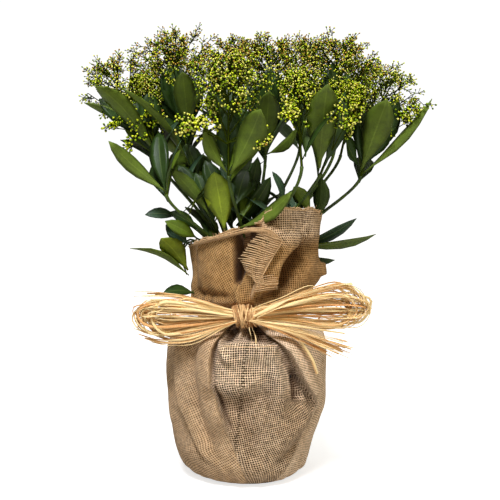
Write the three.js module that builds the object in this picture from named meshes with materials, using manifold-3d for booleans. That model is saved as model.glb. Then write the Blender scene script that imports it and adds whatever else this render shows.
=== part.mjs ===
// A skimmia in flower bud, growing in a nursery pot that is gift-wrapped in hessian and tied with a raffia
// bow. Units are millimetres and +Z is up. The origin is the middle of the flat underside of the wrap, and the
// bow faces -Y. Angles are in degrees, counted from +X towards +Y.

import * as THREE from "three";
import Module from "manifold-3d";
import { mergeVertices } from "three/addons/utils/BufferGeometryUtils.js";

const wasm = await Module();
wasm.setup();

// ---------------------------------------------------------------- driving dimensions

const CLEARANCE = 0.35; // between two pieces that touch
const MASS_GAP = 0.8; // between two masses, and round a limb or the cloth that a mass would run into

const POT = {
  baseRadius: 56,
  topRadius: 75,
  lipRadius: 77.5,
  lipDepth: 9,
  height: 139,
  wall: 2.5,
  standsAt: 2,
};
const COMPOST = { depth: 122, floorGap: 0.5 };
const SOIL_LEVEL = POT.standsAt + POT.wall + COMPOST.floorGap + COMPOST.depth;

const TIE = { bottom: 175, top: 187, clothRadius: 45, clothThickness: 8, bandRadius: 50 };
const BAG = {
  pleats: 9,
  pleatDepth: 2.5,
  slackAbove: 40, // the cloth hangs free of the pot from this height
  gatherDepth: 12, // and is drawn flat over this much below the tie
  sideways: -3, // how far the slack hangs towards -X
  potGap: 1.5,
  // Low on the right the cloth is pulled in by this share of its radius, less and less up to a height.
  tuck: { azimuth: 345, width: 50, share: 0.07, upTo: 90 },
};
const RUFF = {
  wall: 5,
  radius: 63,
  openBy: 0.4, // the share of its height at which the cloth has opened to its full radius
  crumple: 0.36,
  rim: 240,
  leftLobe: { azimuth: 238, width: 42, lift: 30 },
  rightLobe: { azimuth: 326, width: 36, lift: 54 },
  rightBulge: { azimuth: 350, width: 40, out: 14 },
};
const RUFF_SECTORS = { wrap_ruff_left: [178, 281], wrap_ruff_right: [283, 376], wrap_ruff_back: [18, 176] };

const KNOT = { x: -6, y: -65, z: 184, width: 24, depth: 28, height: 27 };
// The bow is measured from the middle of its knot.
const BOW = {
  loopFront: -12,
  loopBack: 6,
  leftTip: -116,
  rightTip: 133,
  waist: 10,
  loopHalfHeight: 22,
  leftDroop: -4,
  rightLift: 5,
  spread: 30, // how far from the knot a loop stays as narrow as its waist
  round: 20, // and how far before its round end it has opened
};
// The middle line of each bundle of cut ends, from the knot's middle, and its radius at both ends.
const TAILS = {
  left: { through: [[-56, 12, 17], [-84, 11, 21], [-118, 15, 17]], from: 4.5, to: 3 },
  right: { through: [[16, -16.5, -6], [64, -18, -17], [114, -15.5, -34]], from: 5, to: 5.5 },
};

const TRUNK = { flareRadius: 14, footRadius: 11.2, topRadius: 10.4, top: 146, lean: 2 };
const BOUGH = {
  ring: 6.4, // from the middle of the trunk's top to the middle of a bough's foot
  footRadius: 3.7,
  tipRadius: 3,
  swelling: 5.4, // the radius of the knuckle that a bough's stems leave from
  forkReach: 20,
  forkHeight: 222,
  rise: 8,
};
const STEM = { ringGap: 0.9, footRadius: 2.3, tipRadius: 1.9, straightShare: 0.45 };
const WHORL = { depth: 64, footRadius: 5, reach: 34, outerReach: 0.3, outerLift: 0.4, fullReach: 150 };
const HEAD_ASPECT = 0.94; // a flower head's half height as a share of its radius

const BOUGHS = {
  left: { azimuth: 192 },
  front: { azimuth: 278 },
  right: { azimuth: 352 },
  back: { azimuth: 85 },
};

// One row for each flowering shoot: the bough it grows from, the direction, reach and height of the middle of
// its flower head, how far the shoot's top leans outwards, the head's radius, and how far below the head's
// middle the leaves of its whorl begin.
const SHOOTS = [
  { name: "left_outer", bough: "left", azimuth: 190, reach: 148, height: 426, lean: 30, head: 35, whorl: 92 },
  { name: "left_top", bough: "left", azimuth: 176, reach: 85, height: 455, lean: 9, head: 40, whorl: 92 },
  { name: "left_low", bough: "left", azimuth: 211, reach: 128, height: 400, lean: 16, head: 30, whorl: 92 },
  { name: "front_left", bough: "front", azimuth: 251, reach: 85, height: 426, lean: 10, head: 40, whorl: 96 },
  { name: "front_right", bough: "front", azimuth: 306, reach: 93, height: 411, lean: 2, head: 35, whorl: 70 },
  { name: "right_low", bough: "right", azimuth: 330, reach: 123, height: 402, lean: 28, head: 31, whorl: 78 },
  { name: "right_top", bough: "right", azimuth: 354, reach: 94, height: 450, lean: 1, head: 40, whorl: 88 },
  { name: "right_outer", bough: "right", azimuth: 2, reach: 154, height: 420, lean: 19, head: 38, whorl: 96 },
  { name: "centre_top", bough: "back", azimuth: 60, reach: 44, height: 455, lean: 5, head: 36, whorl: 104 },
  { name: "right_back", bough: "right", azimuth: 32, reach: 148, height: 426, lean: 18, head: 36, whorl: 78 },
  { name: "back_right", bough: "back", azimuth: 55, reach: 114, height: 442, lean: 8, head: 37, whorl: 78 },
  { name: "back_middle", bough: "back", azimuth: 106, reach: 106, height: 444, lean: 12, head: 37, whorl: 84 },
  { name: "back_left", bough: "back", azimuth: 140, reach: 124, height: 432, lean: 16, head: 38, whorl: 84 },
];

// Older leaves low on the stems, round the ruff: direction, reach and height of each mass, and half its sizes.
const LOW_LEAVES = [
  { name: "low_leaves_left", azimuth: 188, reach: 92, height: 262, out: 34, across: 40, up: 40 },
  { name: "low_leaves_right", azimuth: 12, reach: 104, height: 262, out: 34, across: 34, up: 30 },
  { name: "low_leaves_front", azimuth: 258, reach: 34, height: 308, out: 36, across: 56, up: 33 },
  { name: "low_leaves_back", azimuth: 95, reach: 74, height: 284, out: 34, across: 52, up: 34 },
];

const BARK = { color: 0x4c6a2a, roughness: 0.6 };
const WOOD = { color: 0x6a5a3c, roughness: 0.8 };
const FOLIAGE = { color: 0x3d6a28, roughness: 0.4 };
const BUDS = { color: 0xa9a84a, roughness: 0.6 };
const HESSIAN = { color: 0xa98a62, roughness: 0.95 };
const RAFFIA = { color: 0xe3c07f, roughness: 0.7 };
const PLASTIC = { color: 0x2a2622, roughness: 0.6 };
const SOIL = { color: 0x30231a, roughness: 1 };

// ---------------------------------------------------------------- small helpers

const UP = new THREE.Vector3(0, 0, 1);
const radians = THREE.MathUtils.degToRad;

/** A point from its direction, its reach from the middle and its height. */
function polar(azimuth, reach, height) {
  return new THREE.Vector3(reach * Math.cos(radians(azimuth)), reach * Math.sin(radians(azimuth)), height);
}

/** The shortest turn from one direction to another, in degrees. */
function turn(from, to) {
  return THREE.MathUtils.euclideanModulo(to - from + 180, 360) - 180;
}

/** A smooth hump that is 1 at azimuth and dies away over width degrees. */
function hump(angle, { azimuth, width }) {
  return Math.exp(-((turn(azimuth, angle) / width) ** 2));
}

/** A factor near 1 that makes a surface uneven, in a way of its own for each seed. */
function uneven(angle, level, seed) {
  const a = radians(angle);
  return 1 + 0.08 * Math.sin(3 * a + 2.1 * seed + 2 * level) + 0.05 * Math.sin(5 * a - 1.3 * seed + 5 * level);
}

function geometryOf(points, faces) {
  const geometry = new THREE.BufferGeometry().setFromPoints(points);
  geometry.setIndex(faces);
  return geometry;
}

/** A closed geometry through rings of points, each counted anticlockwise as seen from the last ring. */
function loft(rings) {
  const count = rings[0].length;
  const points = rings.flat();
  const faces = [];
  for (let r = 0; r + 1 < rings.length; r++) {
    for (let i = 0; i < count; i++) {
      const a = r * count + i;
      const b = r * count + ((i + 1) % count);
      faces.push(a, b, b + count, a, b + count, a + count);
    }
  }
  const cap = (ring, start, reversed) => {
    const middle = ring.reduce((sum, p) => sum.add(p), new THREE.Vector3()).divideScalar(count);
    const hub = points.push(middle) - 1;
    for (let i = 0; i < count; i++) {
      const a = start + i;
      const b = start + ((i + 1) % count);
      faces.push(hub, ...(reversed ? [b, a] : [a, b]));
    }
  };
  cap(rings[0], 0, true);
  cap(rings.at(-1), (rings.length - 1) * count, false);
  return geometryOf(points, faces);
}

/** A tapering limb along a curve. radiusAt gives its radius by the share of the way, level its flat ends. */
function limb(curve, radiusAt, { sides = 7, steps = 8, squash = 1, level = ["foot"] } = {}) {
  const rings = [];
  for (let s = 0; s <= steps; s++) {
    const isLevel = (level.includes("foot") && s === 0) || (level.includes("tip") && s === steps);
    const along = isLevel ? UP : curve.getTangentAt(s / steps);
    const across = new THREE.Vector3(1, 0, 0).addScaledVector(along, -along.x).normalize();
    const third = new THREE.Vector3().crossVectors(along, across);
    const middle = curve.getPointAt(s / steps);
    const radius = radiusAt(s / steps);
    rings.push(
      Array.from({ length: sides }, (_, i) => {
        const a = (2 * Math.PI * i) / sides;
        return middle
          .clone()
          .addScaledVector(across, radius * Math.cos(a))
          .addScaledVector(third, radius * squash * Math.sin(a));
      }),
    );
  }
  return loft(rings);
}

/**
 * A solid of revolution about +Z from a profile of [radius, height] pairs, from the axis round to the axis.
 * shape may move each point, given the point and its row in the profile.
 */
function turned(profile, segments = 24, shape = (p) => p) {
  const geometry = new THREE.LatheGeometry(
    profile.map(([r, z]) => new THREE.Vector2(r, z)),
    segments,
  ).rotateX(Math.PI / 2);
  const position = geometry.getAttribute("position");
  for (let i = 0; i < position.count; i++) {
    const p = shape(new THREE.Vector3().fromBufferAttribute(position, i), i % profile.length);
    position.setXYZ(i, p.x, p.y, p.z);
  }
  return geometry;
}

/** A closed slab between an outer and an inner surface, each a function of two shares u and v. */
function slab(outer, inner, uSteps, vSteps) {
  const points = [];
  for (const side of [outer, inner]) {
    for (let u = 0; u <= uSteps; u++) {
      for (let v = 0; v <= vSteps; v++) points.push(side(u / uSteps, v / vSteps));
    }
  }
  const row = vSteps + 1;
  const back = (uSteps + 1) * row;
  const faces = [];
  const quad = (a, b, c, d) => faces.push(a, b, c, a, c, d);
  for (let u = 0; u < uSteps; u++) {
    for (let v = 0; v < vSteps; v++) {
      const a = u * row + v;
      quad(a, a + row, a + row + 1, a + 1);
      quad(back + a, back + a + 1, back + a + row + 1, back + a + row);
    }
    const low = u * row;
    const high = low + vSteps;
    quad(low, back + low, back + low + row, low + row);
    quad(high, high + row, back + high + row, back + high);
  }
  for (let v = 0; v < vSteps; v++) {
    const far = uSteps * row + v;
    quad(v, v + 1, back + v + 1, back + v);
    quad(far, back + far, back + far + 1, far + 1);
  }
  return geometryOf(points, faces);
}

// ---------------------------------------------------------------- cutting with manifold-3d

function toSolid(geometry) {
  const bare = new THREE.BufferGeometry().setAttribute("position", geometry.getAttribute("position"));
  bare.setIndex(geometry.index);
  const merged = mergeVertices(bare, 1e-3);
  return new wasm.Manifold(
    new wasm.Mesh({
      numProp: 3,
      vertProperties: merged.attributes.position.array,
      triVerts: new Uint32Array(merged.index.array),
    }),
  );
}

function toGeometry(solid) {
  const mesh = solid.getMesh();
  return new THREE.BufferGeometry()
    .setAttribute("position", new THREE.BufferAttribute(Float32Array.from(mesh.vertProperties), 3))
    .setIndex(new THREE.BufferAttribute(Uint32Array.from(mesh.triVerts), 1));
}

function meets(a, b) {
  return a.intersect(b).volume() > 0;
}

/** The largest body of a solid, so that a cut never leaves crumbs. */
function largest(solid) {
  return solid.decompose().sort((a, b) => b.volume() - a.volume())[0];
}

/** Cuts two masses that run into each other at a plane between their middles, set by their sizes. */
function share(a, b) {
  if (!meets(a.solid, b.solid)) return;
  const apart = new THREE.Vector3().subVectors(b.middle, a.middle);
  const normal = apart.clone().normalize();
  const cut = a.middle.clone().addScaledVector(apart, a.size / (a.size + b.size)).dot(normal);
  a.solid = largest(a.solid.trimByPlane(normal.clone().negate().toArray(), MASS_GAP / 2 - cut));
  b.solid = largest(b.solid.trimByPlane(normal.toArray(), cut + MASS_GAP / 2));
}

// ---------------------------------------------------------------- pot and compost

/** The pot, standing on z = 0. */
function potGeometry() {
  const { baseRadius, topRadius, lipRadius, lipDepth, height, wall } = POT;
  return turned([
    [0, 0],
    [baseRadius, 0],
    [topRadius, height - lipDepth],
    [lipRadius, height - lipDepth],
    [lipRadius, height],
    [topRadius - wall, height],
    [baseRadius - wall, wall],
    [0, wall],
  ]);
}

/** The pot's inner radius at a height over the inside of its floor. */
function potBore(height) {
  return THREE.MathUtils.lerp(POT.baseRadius, POT.topRadius, height / (POT.height - POT.wall)) - POT.wall;
}

/** The compost, standing on z = 0. */
function compostGeometry() {
  const top = COMPOST.floorGap + COMPOST.depth;
  return turned([
    [0, 0],
    [potBore(COMPOST.floorGap) - CLEARANCE, 0],
    [potBore(top) - CLEARANCE, COMPOST.depth],
    [0, COMPOST.depth],
  ]);
}

// ---------------------------------------------------------------- hessian wrap

/** The bag below the tie: a skin round the pot that bulges, stands in soft pleats and gathers in to the tie. */
function bagGeometry() {
  const { clothRadius, clothThickness } = TIE;
  const top = POT.standsAt + POT.height;
  const outside = [
    [0, 0],
    [55, 0],
    [66, 6],
    [76, 24],
    [84, 56],
    [88, 98],
    [88, 132],
    [81, 151],
    [63, 166],
    [clothRadius, TIE.bottom],
    [clothRadius, TIE.top],
  ];
  const inside = [
    [clothRadius - clothThickness, TIE.top],
    [clothRadius - clothThickness, TIE.bottom],
    [66, 155],
    [POT.lipRadius + BAG.potGap, top + BAG.potGap],
    [POT.lipRadius + BAG.potGap, top - POT.lipDepth],
    [POT.baseRadius + BAG.potGap / 2, POT.standsAt - CLEARANCE],
    [0, POT.standsAt - CLEARANCE],
  ];
  return turned([...outside, ...inside], 36, (p, row) => {
    if (row < 2 || row >= outside.length) return p;
    const radius = Math.hypot(p.x, p.y);
    const angle = THREE.MathUtils.radToDeg(Math.atan2(p.y, p.x));
    const drawnIn = THREE.MathUtils.clamp((TIE.bottom - p.z) / BAG.gatherDepth, 0, 1);
    const slack = Math.min(1, p.z / BAG.slackAbove) * drawnIn;
    const tuck = BAG.tuck.share * hump(angle, BAG.tuck) * Math.max(0, 1 - p.z / BAG.tuck.upTo);
    const out = (1 + (BAG.pleatDepth * slack * Math.cos(radians(BAG.pleats * angle))) / radius) * (1 - tuck);
    return p.set(p.x * out + BAG.sideways * slack, p.y * out, p.z);
  });
}

function rimHeight(angle) {
  const { rim, leftLobe, rightLobe } = RUFF;
  return rim + leftLobe.lift * hump(angle, leftLobe) + rightLobe.lift * hump(angle, rightLobe);
}

/** A point of the ruff, some depth in from its outer face, at an angle and a share of the way up to the rim. */
function ruffPoint(angle, level, depth) {
  const flare = Math.sin(Math.min(1, level / RUFF.openBy) * (Math.PI / 2));
  const full = RUFF.radius + RUFF.rightBulge.out * hump(angle, RUFF.rightBulge);
  const crumple = 1 + RUFF.crumple * flare * (uneven(angle, level, 2) - 1);
  const radius = THREE.MathUtils.lerp(TIE.clothRadius, full, flare) * crumple;
  return polar(angle, radius - depth, THREE.MathUtils.lerp(TIE.top + CLEARANCE, rimHeight(angle), level));
}

/** One sector of the ruff, or the same sector grown a little all round, to cut the leaves with. */
function ruffGeometry([from, to], grown = 0) {
  const degreesEach = 12;
  const angle = (u) => THREE.MathUtils.lerp(from, to, u) + grown * (2 * u - 1);
  const level = (v) => v * (1 + grown / 100);
  return slab(
    (u, v) => ruffPoint(angle(u), level(v), -grown),
    (u, v) => ruffPoint(angle(u), level(v), RUFF.wall + grown),
    Math.round((to - from) / degreesEach),
    4,
  );
}

// ---------------------------------------------------------------- raffia

/** The turns of raffia round the neck of the cloth, centred on z = 0. */
function bandGeometry() {
  const inner = TIE.clothRadius + CLEARANCE;
  const bulge = (TIE.bandRadius - inner) / 2;
  const half = (TIE.top - TIE.bottom) / 2 - 1;
  const points = 6;
  const profile = Array.from({ length: points + 1 }, (_, i) => {
    const a = (2 * Math.PI * i) / points;
    return [inner + bulge - bulge * Math.cos(a), -half * Math.sin(a)];
  });
  return turned(profile);
}

function knotGeometry() {
  return new THREE.SphereGeometry(0.5, 12, 8).scale(KNOT.width, KNOT.depth, KNOT.height);
}

/** One loop of the bow: a flattened lobe that widens from the knot to its round end. */
function loopGeometry(tip, rise) {
  const { waist, loopHalfHeight, loopFront, loopBack, spread, round } = BOW;
  const side = Math.sign(tip);
  const start = side * (KNOT.width / 2 + CLEARANCE);
  const end = tip - side * loopHalfHeight;
  const low = rise - loopHalfHeight;
  const high = rise + loopHalfHeight;
  const outline = new THREE.Shape();
  outline.moveTo(start, -waist);
  outline.bezierCurveTo(start + side * spread, -waist, end - side * round, low, end, low);
  outline.bezierCurveTo(tip, low, tip, high, end, high);
  outline.bezierCurveTo(end - side * round, high, start + side * spread, waist, start, waist);
  const depth = loopBack - loopFront;
  return new THREE.ExtrudeGeometry(outline, { depth, bevelEnabled: false, curveSegments: 7 })
    .rotateX(Math.PI / 2)
    .translate(0, loopBack, 0);
}

/** A bundle of cut ends: the left one lies behind its loop, the right one in front. */
function tailGeometry({ through, from, to }) {
  const curve = new THREE.CatmullRomCurve3(through.map((xyz) => new THREE.Vector3(...xyz)));
  const radius = (t) => THREE.MathUtils.lerp(from, to, t);
  return limb(curve, radius, { sides: 8, steps: 5, squash: 0.6, level: [] });
}

// ---------------------------------------------------------------- trunk, boughs and stems

function trunkGeometry() {
  const foot = new THREE.Vector3(0, 0, SOIL_LEVEL + CLEARANCE);
  const curve = new THREE.LineCurve3(foot, new THREE.Vector3(0, TRUNK.lean, TRUNK.top));
  const flare = TRUNK.flareRadius - TRUNK.footRadius;
  const radius = (t) => THREE.MathUtils.lerp(TRUNK.footRadius, TRUNK.topRadius, t) + flare * Math.exp(-8 * t);
  return limb(curve, radius, { sides: 12, steps: 4, level: ["foot", "tip"] });
}

function boughCurve({ azimuth }) {
  const foot = polar(azimuth, BOUGH.ring, TRUNK.top + CLEARANCE).add(new THREE.Vector3(0, TRUNK.lean, 0));
  const fork = polar(azimuth, BOUGH.forkReach, BOUGH.forkHeight);
  const bend = foot.clone().lerp(fork, 0.5).addScaledVector(UP, BOUGH.rise);
  return new THREE.QuadraticBezierCurve3(foot, bend, fork);
}

function boughGeometry(bough) {
  const { footRadius, tipRadius, swelling } = BOUGH;
  const knuckle = (t) => (swelling - tipRadius) * Math.exp(-14 * (1 - t));
  const radius = (t) => THREE.MathUtils.lerp(footRadius, tipRadius, t) + knuckle(t);
  return limb(boughCurve(bough), radius, { sides: 8, steps: 7, level: ["foot", "tip"] });
}

/** The direction in which a shoot's top points. */
function shootAxis({ azimuth, lean }) {
  return polar(azimuth, Math.sin(radians(lean)), Math.cos(radians(lean)));
}

function headMiddle({ azimuth, reach, height }) {
  return polar(azimuth, reach, height);
}

function whorlFoot(shoot) {
  return headMiddle(shoot).addScaledVector(shootAxis(shoot), -shoot.whorl);
}

/** Where a shoot's stem leaves its fork: the stems of one fork stand in a ring, in the order they spread. */
function stemFoot(shoot) {
  const fork = boughCurve(BOUGHS[shoot.bough]).getPoint(1);
  const direction = (s) => {
    const away = whorlFoot(s).sub(fork);
    return turn(BOUGHS[shoot.bough].azimuth, THREE.MathUtils.radToDeg(Math.atan2(away.y, away.x)));
  };
  const mates = SHOOTS.filter((s) => s.bough === shoot.bough).sort((a, b) => direction(a) - direction(b));
  const slot = mates.indexOf(shoot) - (mates.length - 1) / 2;
  const ring = (STEM.footRadius + STEM.ringGap / 2) / Math.sin(Math.PI / mates.length);
  const facing = BOUGHS[shoot.bough].azimuth + (slot * 360) / mates.length;
  return fork.add(polar(facing, ring, CLEARANCE + 1));
}

function stemGeometry(shoot, grown = 0) {
  const foot = stemFoot(shoot);
  const tip = whorlFoot(shoot);
  const rise = (tip.z - foot.z) * STEM.straightShare;
  const curve = new THREE.CubicBezierCurve3(
    foot,
    foot.clone().lerp(tip, 0.12).addScaledVector(UP, rise * 0.75),
    tip.clone().addScaledVector(shootAxis(shoot), -rise * 0.6),
    tip,
  );
  const radius = (t) => THREE.MathUtils.lerp(STEM.footRadius, STEM.tipRadius, t) + grown;
  return limb(curve, radius, { sides: 6, steps: 6 });
}

// ---------------------------------------------------------------- masses of leaves and flowers

/** A flower head's dome of buds, or the same dome grown a little, to cut its leaves with. */
function headGeometry(shoot, seed, grown = 0) {
  const sides = 10;
  const layers = 5;
  const upright = new THREE.Quaternion().setFromUnitVectors(UP, shootAxis(shoot));
  const middle = headMiddle(shoot);
  const rings = Array.from({ length: layers + 1 }, (_, layer) => {
    const level = THREE.MathUtils.lerp(0.06, 0.94, layer / layers);
    const radius = shoot.head * Math.sin(Math.PI * level) ** 0.7 + grown;
    const height = -Math.cos(Math.PI * level) * (shoot.head * HEAD_ASPECT + grown);
    return Array.from({ length: sides }, (_, i) => {
      const angle = (360 * i) / sides;
      return polar(angle, radius * uneven(angle, level, seed), height).applyQuaternion(upright).add(middle);
    });
  });
  return loft(rings);
}

/** A whorl's foliage: a funnel that opens from the stem, further and higher on the plant's outer side. */
function whorlGeometry(shoot, seed) {
  const sides = 9;
  const layers = 3;
  const axis = shootAxis(shoot);
  const upright = new THREE.Quaternion().setFromUnitVectors(UP, axis);
  const foot = whorlFoot(shoot).addScaledVector(axis, CLEARANCE);
  const bias = Math.min(1, shoot.reach / WHORL.fullReach) ** 2;
  const rings = Array.from({ length: layers + 1 }, (_, layer) => {
    const level = layer / layers;
    return Array.from({ length: sides }, (_, i) => {
      const angle = (360 * i) / sides;
      const outward = bias * Math.max(0, Math.cos(radians(turn(shoot.azimuth, angle)))) ** 2;
      const open = WHORL.reach * (1 + WHORL.outerReach * outward);
      const radius = THREE.MathUtils.lerp(WHORL.footRadius, open, level ** 0.8);
      const height = WHORL.depth * level * (1 + WHORL.outerLift * outward * level);
      return polar(angle, radius * uneven(angle, level, seed), height).applyQuaternion(upright).add(foot);
    });
  });
  return loft(rings);
}

/** A loose, rounded mass of older leaves. */
function lowLeavesGeometry({ azimuth, reach, height, out, across, up }, seed) {
  const sides = 10;
  const layers = 5;
  const middle = polar(azimuth, reach, height);
  const rings = Array.from({ length: layers + 1 }, (_, layer) => {
    const level = THREE.MathUtils.lerp(0.07, 0.93, layer / layers);
    const swell = Math.sin(Math.PI * level) ** 0.8;
    return Array.from({ length: sides }, (_, i) => {
      const angle = (360 * i) / sides;
      const p = polar(angle, swell * uneven(angle, level, seed), -Math.cos(Math.PI * level));
      return p.multiply(new THREE.Vector3(out, across, up)).applyAxisAngle(UP, radians(azimuth)).add(middle);
    });
  });
  return loft(rings);
}

/** Every mass of the plant as {name, solid, middle, size, look}, none running into another or an obstacle. */
function buildMasses(obstacles) {
  const heads = SHOOTS.map((shoot, i) => ({
    name: `flowers_${shoot.name}`,
    solid: toSolid(headGeometry(shoot, i)),
    middle: headMiddle(shoot),
    size: shoot.head,
    look: BUDS,
  }));
  const whorls = SHOOTS.map((shoot, i) => ({
    name: `leaves_${shoot.name}`,
    solid: toSolid(whorlGeometry(shoot, i)),
    middle: whorlFoot(shoot).addScaledVector(shootAxis(shoot), WHORL.depth * 0.6),
    size: WHORL.reach,
    look: FOLIAGE,
  }));
  const lows = LOW_LEAVES.map((mass, i) => ({
    name: mass.name,
    solid: toSolid(lowLeavesGeometry(mass, i + 20)),
    middle: polar(mass.azimuth, mass.reach, mass.height),
    size: mass.out,
    look: FOLIAGE,
  }));
  const pairs = (list, other) => list.flatMap((a, i) => (other ?? list.slice(i + 1)).map((b) => [a, b]));
  for (const [a, b] of pairs(heads)) share(a, b);
  const grownHeads = SHOOTS.map((shoot, i) => toSolid(headGeometry(shoot, i, MASS_GAP)));
  for (const whorl of whorls) {
    for (const head of grownHeads) {
      if (meets(whorl.solid, head)) whorl.solid = largest(whorl.solid.subtract(head));
    }
  }
  const leaves = [...whorls, ...lows];
  for (const [a, b] of pairs(leaves)) share(a, b);
  for (const [a, b] of pairs(lows, heads)) share(a, b);
  for (const mass of [...heads, ...leaves]) {
    for (const obstacle of obstacles) {
      if (meets(mass.solid, obstacle)) mass.solid = largest(mass.solid.subtract(obstacle));
    }
    mass.solid = largest(mass.solid.simplify(MASS_GAP / 2));
  }
  return [...heads, ...leaves];
}

// ---------------------------------------------------------------- assembly

/** A group in the model, at a place in its frame. */
function groupAt(x, y, z) {
  const group = new THREE.Group();
  group.position.set(x, y, z);
  skimmia.add(group);
  return group;
}

function add(group, name, geometry, look) {
  const mesh = new THREE.Mesh(geometry, new THREE.MeshStandardMaterial({ metalness: 0, ...look }));
  mesh.name = name;
  group.add(mesh);
  return mesh;
}

const skimmia = new THREE.Group();

const container = groupAt(0, 0, POT.standsAt);
add(container, "pot", potGeometry(), PLASTIC);
add(container, "compost", compostGeometry(), SOIL).position.z = POT.wall + COMPOST.floorGap;

const wrap = groupAt(0, 0, 0);
add(wrap, "wrap_bag", bagGeometry(), HESSIAN);
for (const [name, sector] of Object.entries(RUFF_SECTORS)) add(wrap, name, ruffGeometry(sector), HESSIAN);

add(groupAt(0, 0, (TIE.top + TIE.bottom) / 2), "raffia_band", bandGeometry(), RAFFIA);
const bow = groupAt(KNOT.x, KNOT.y, KNOT.z);
add(bow, "raffia_knot", knotGeometry(), RAFFIA);
add(bow, "raffia_loop_left", loopGeometry(BOW.leftTip, BOW.leftDroop), RAFFIA);
add(bow, "raffia_loop_right", loopGeometry(BOW.rightTip, BOW.rightLift), RAFFIA);
for (const [side, tails] of Object.entries(TAILS)) add(bow, `raffia_tails_${side}`, tailGeometry(tails), RAFFIA);

const plant = groupAt(0, 0, 0);
add(plant, "trunk", trunkGeometry(), WOOD);
for (const [name, bough] of Object.entries(BOUGHS)) add(plant, `bough_${name}`, boughGeometry(bough), WOOD);
for (const shoot of SHOOTS) add(plant, `stem_${shoot.name}`, stemGeometry(shoot), BARK);

const cutters = [
  ...SHOOTS.map((shoot) => toSolid(stemGeometry(shoot, MASS_GAP))),
  ...Object.values(RUFF_SECTORS).map((sector) => toSolid(ruffGeometry(sector, MASS_GAP))),
];
for (const { name, solid, look } of buildMasses(cutters)) add(plant, name, toGeometry(solid), look);

export default skimmia;
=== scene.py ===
"""The looks of a potted skimmia in its hessian wrap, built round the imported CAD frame.

Lengths in the classes are millimetres and angles are degrees, where azimuth 270 faces the viewer.
Meshes are made in metres.
"""

import logging
import math
from dataclasses import dataclass, field
from enum import Enum
from functools import lru_cache
from typing import Iterable, Optional, Sequence, Union

import bpy
import numpy as np
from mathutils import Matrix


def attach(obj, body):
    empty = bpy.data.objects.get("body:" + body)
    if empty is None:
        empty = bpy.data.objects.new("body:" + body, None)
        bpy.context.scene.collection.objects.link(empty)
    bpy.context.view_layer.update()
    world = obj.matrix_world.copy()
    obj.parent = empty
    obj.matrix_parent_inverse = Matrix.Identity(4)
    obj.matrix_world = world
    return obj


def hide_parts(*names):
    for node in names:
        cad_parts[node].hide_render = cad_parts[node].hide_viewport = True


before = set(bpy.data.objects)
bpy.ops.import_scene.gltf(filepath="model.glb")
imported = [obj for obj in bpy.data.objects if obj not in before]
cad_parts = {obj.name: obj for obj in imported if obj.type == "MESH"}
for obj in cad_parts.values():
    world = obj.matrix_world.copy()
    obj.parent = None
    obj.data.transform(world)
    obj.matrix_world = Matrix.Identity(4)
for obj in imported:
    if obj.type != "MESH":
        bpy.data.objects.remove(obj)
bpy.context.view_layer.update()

MM = 0.001
UP = np.array([0.0, 0.0, 1.0])
GOLDEN = 137.508
EYE_DISTANCE = 1150.0
EYE_HEIGHT = 360.0
PER_METRE = (1000, 1000, 1000)
WHITE = (1, 1, 1, 1)
BLACK = (0, 0, 0, 1)
Array = np.ndarray
Socket = bpy.types.NodeSocket
Value = Union[float, Sequence[float], Socket]
Swatch = tuple[int, int, int]
Path = tuple[tuple[float, ...], ...]
log = logging.getLogger("skimmia")


# ---------------------------------------------------------------- lines and shapes


def polar(azimuth: float, reach: float, height: float = 0.0) -> Array:
    """The point at a reach along an azimuth, at a height."""
    turn = math.radians(azimuth)
    return np.array([reach * math.cos(turn), reach * math.sin(turn), height])


def cosine(degrees: Array) -> Array:
    """The cosine of each angle."""
    return np.cos(np.radians(degrees))


def sine(degrees: Array) -> Array:
    """The sine of each angle."""
    return np.sin(np.radians(degrees))


def stack(*parts: Array) -> Array:
    """Points from their coordinates, which may be numbers or grids of any fitting shape."""
    return np.stack(np.broadcast_arrays(*parts), axis=-1)


def unit(vector: Array) -> Array:
    """The vector, or each row of it, at length one."""
    return vector / np.maximum(np.linalg.norm(vector, axis=-1, keepdims=True), 1e-9)


def ease(low: float, high: float, value: Array) -> Array:
    """A smooth step from 0 at low to 1 at high."""
    share = np.clip((value - low) / (high - low), 0, 1)
    return share * share * (3 - 2 * share)


def hump(value: Array, middle: float, spread: float) -> Array:
    """A round bump of height one about middle."""
    return np.exp(-(((value - middle) / spread) ** 2))


def smoothed(values: Array, reach: int) -> Array:
    """The values, each averaged with its neighbours up to a reach on both sides."""
    width = 2 * reach + 1
    return np.convolve(np.pad(values, reach, mode="edge"), np.ones(width) / width, "valid")


def lengths_along(line: Array) -> Array:
    """How far along a line each of its points is."""
    return np.concatenate([[0], np.cumsum(np.linalg.norm(np.diff(line, axis=0), axis=1))])


def bezier(controls: Sequence[Array], count: int) -> Array:
    """Points along a Bezier curve.

    Args:
        controls: its control points.
        count: how many points to give.
    Returns:
        The points, one a row.
    """
    share = np.linspace(0, 1, count)[:, None]
    level = [np.asarray(c, float) + 0 * share for c in controls]
    while len(level) > 1:
        level = [a + (b - a) * share for a, b in zip(level, level[1:])]
    return level[0]


def through(stops: Sequence[Sequence[float]], count: int) -> Array:
    """A smooth line through the stops, evenly spaced along its length.

    Args:
        stops: the points it passes.
        count: how many points to give.
    Returns:
        The points, one a row.
    """
    p = np.asarray(stops, float)
    p = np.vstack([2 * p[0] - p[1], p, 2 * p[-1] - p[-2]])
    dense = []
    for a, b, c, d in zip(p, p[1:], p[2:], p[3:]):
        t = np.linspace(0, 1, 12, endpoint=False)[:, None]
        square, cube = 2 * a - 5 * b + 4 * c - d, 3 * b - a - 3 * c + d
        dense.append(0.5 * (2 * b + (c - a) * t + square * t**2 + cube * t**3))
    line = np.vstack([*dense, p[-2:-1]])
    run = lengths_along(line)
    want = np.linspace(0, run[-1], count)
    return np.stack([np.interp(want, run, line[:, k]) for k in range(line.shape[1])], axis=1)


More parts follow.
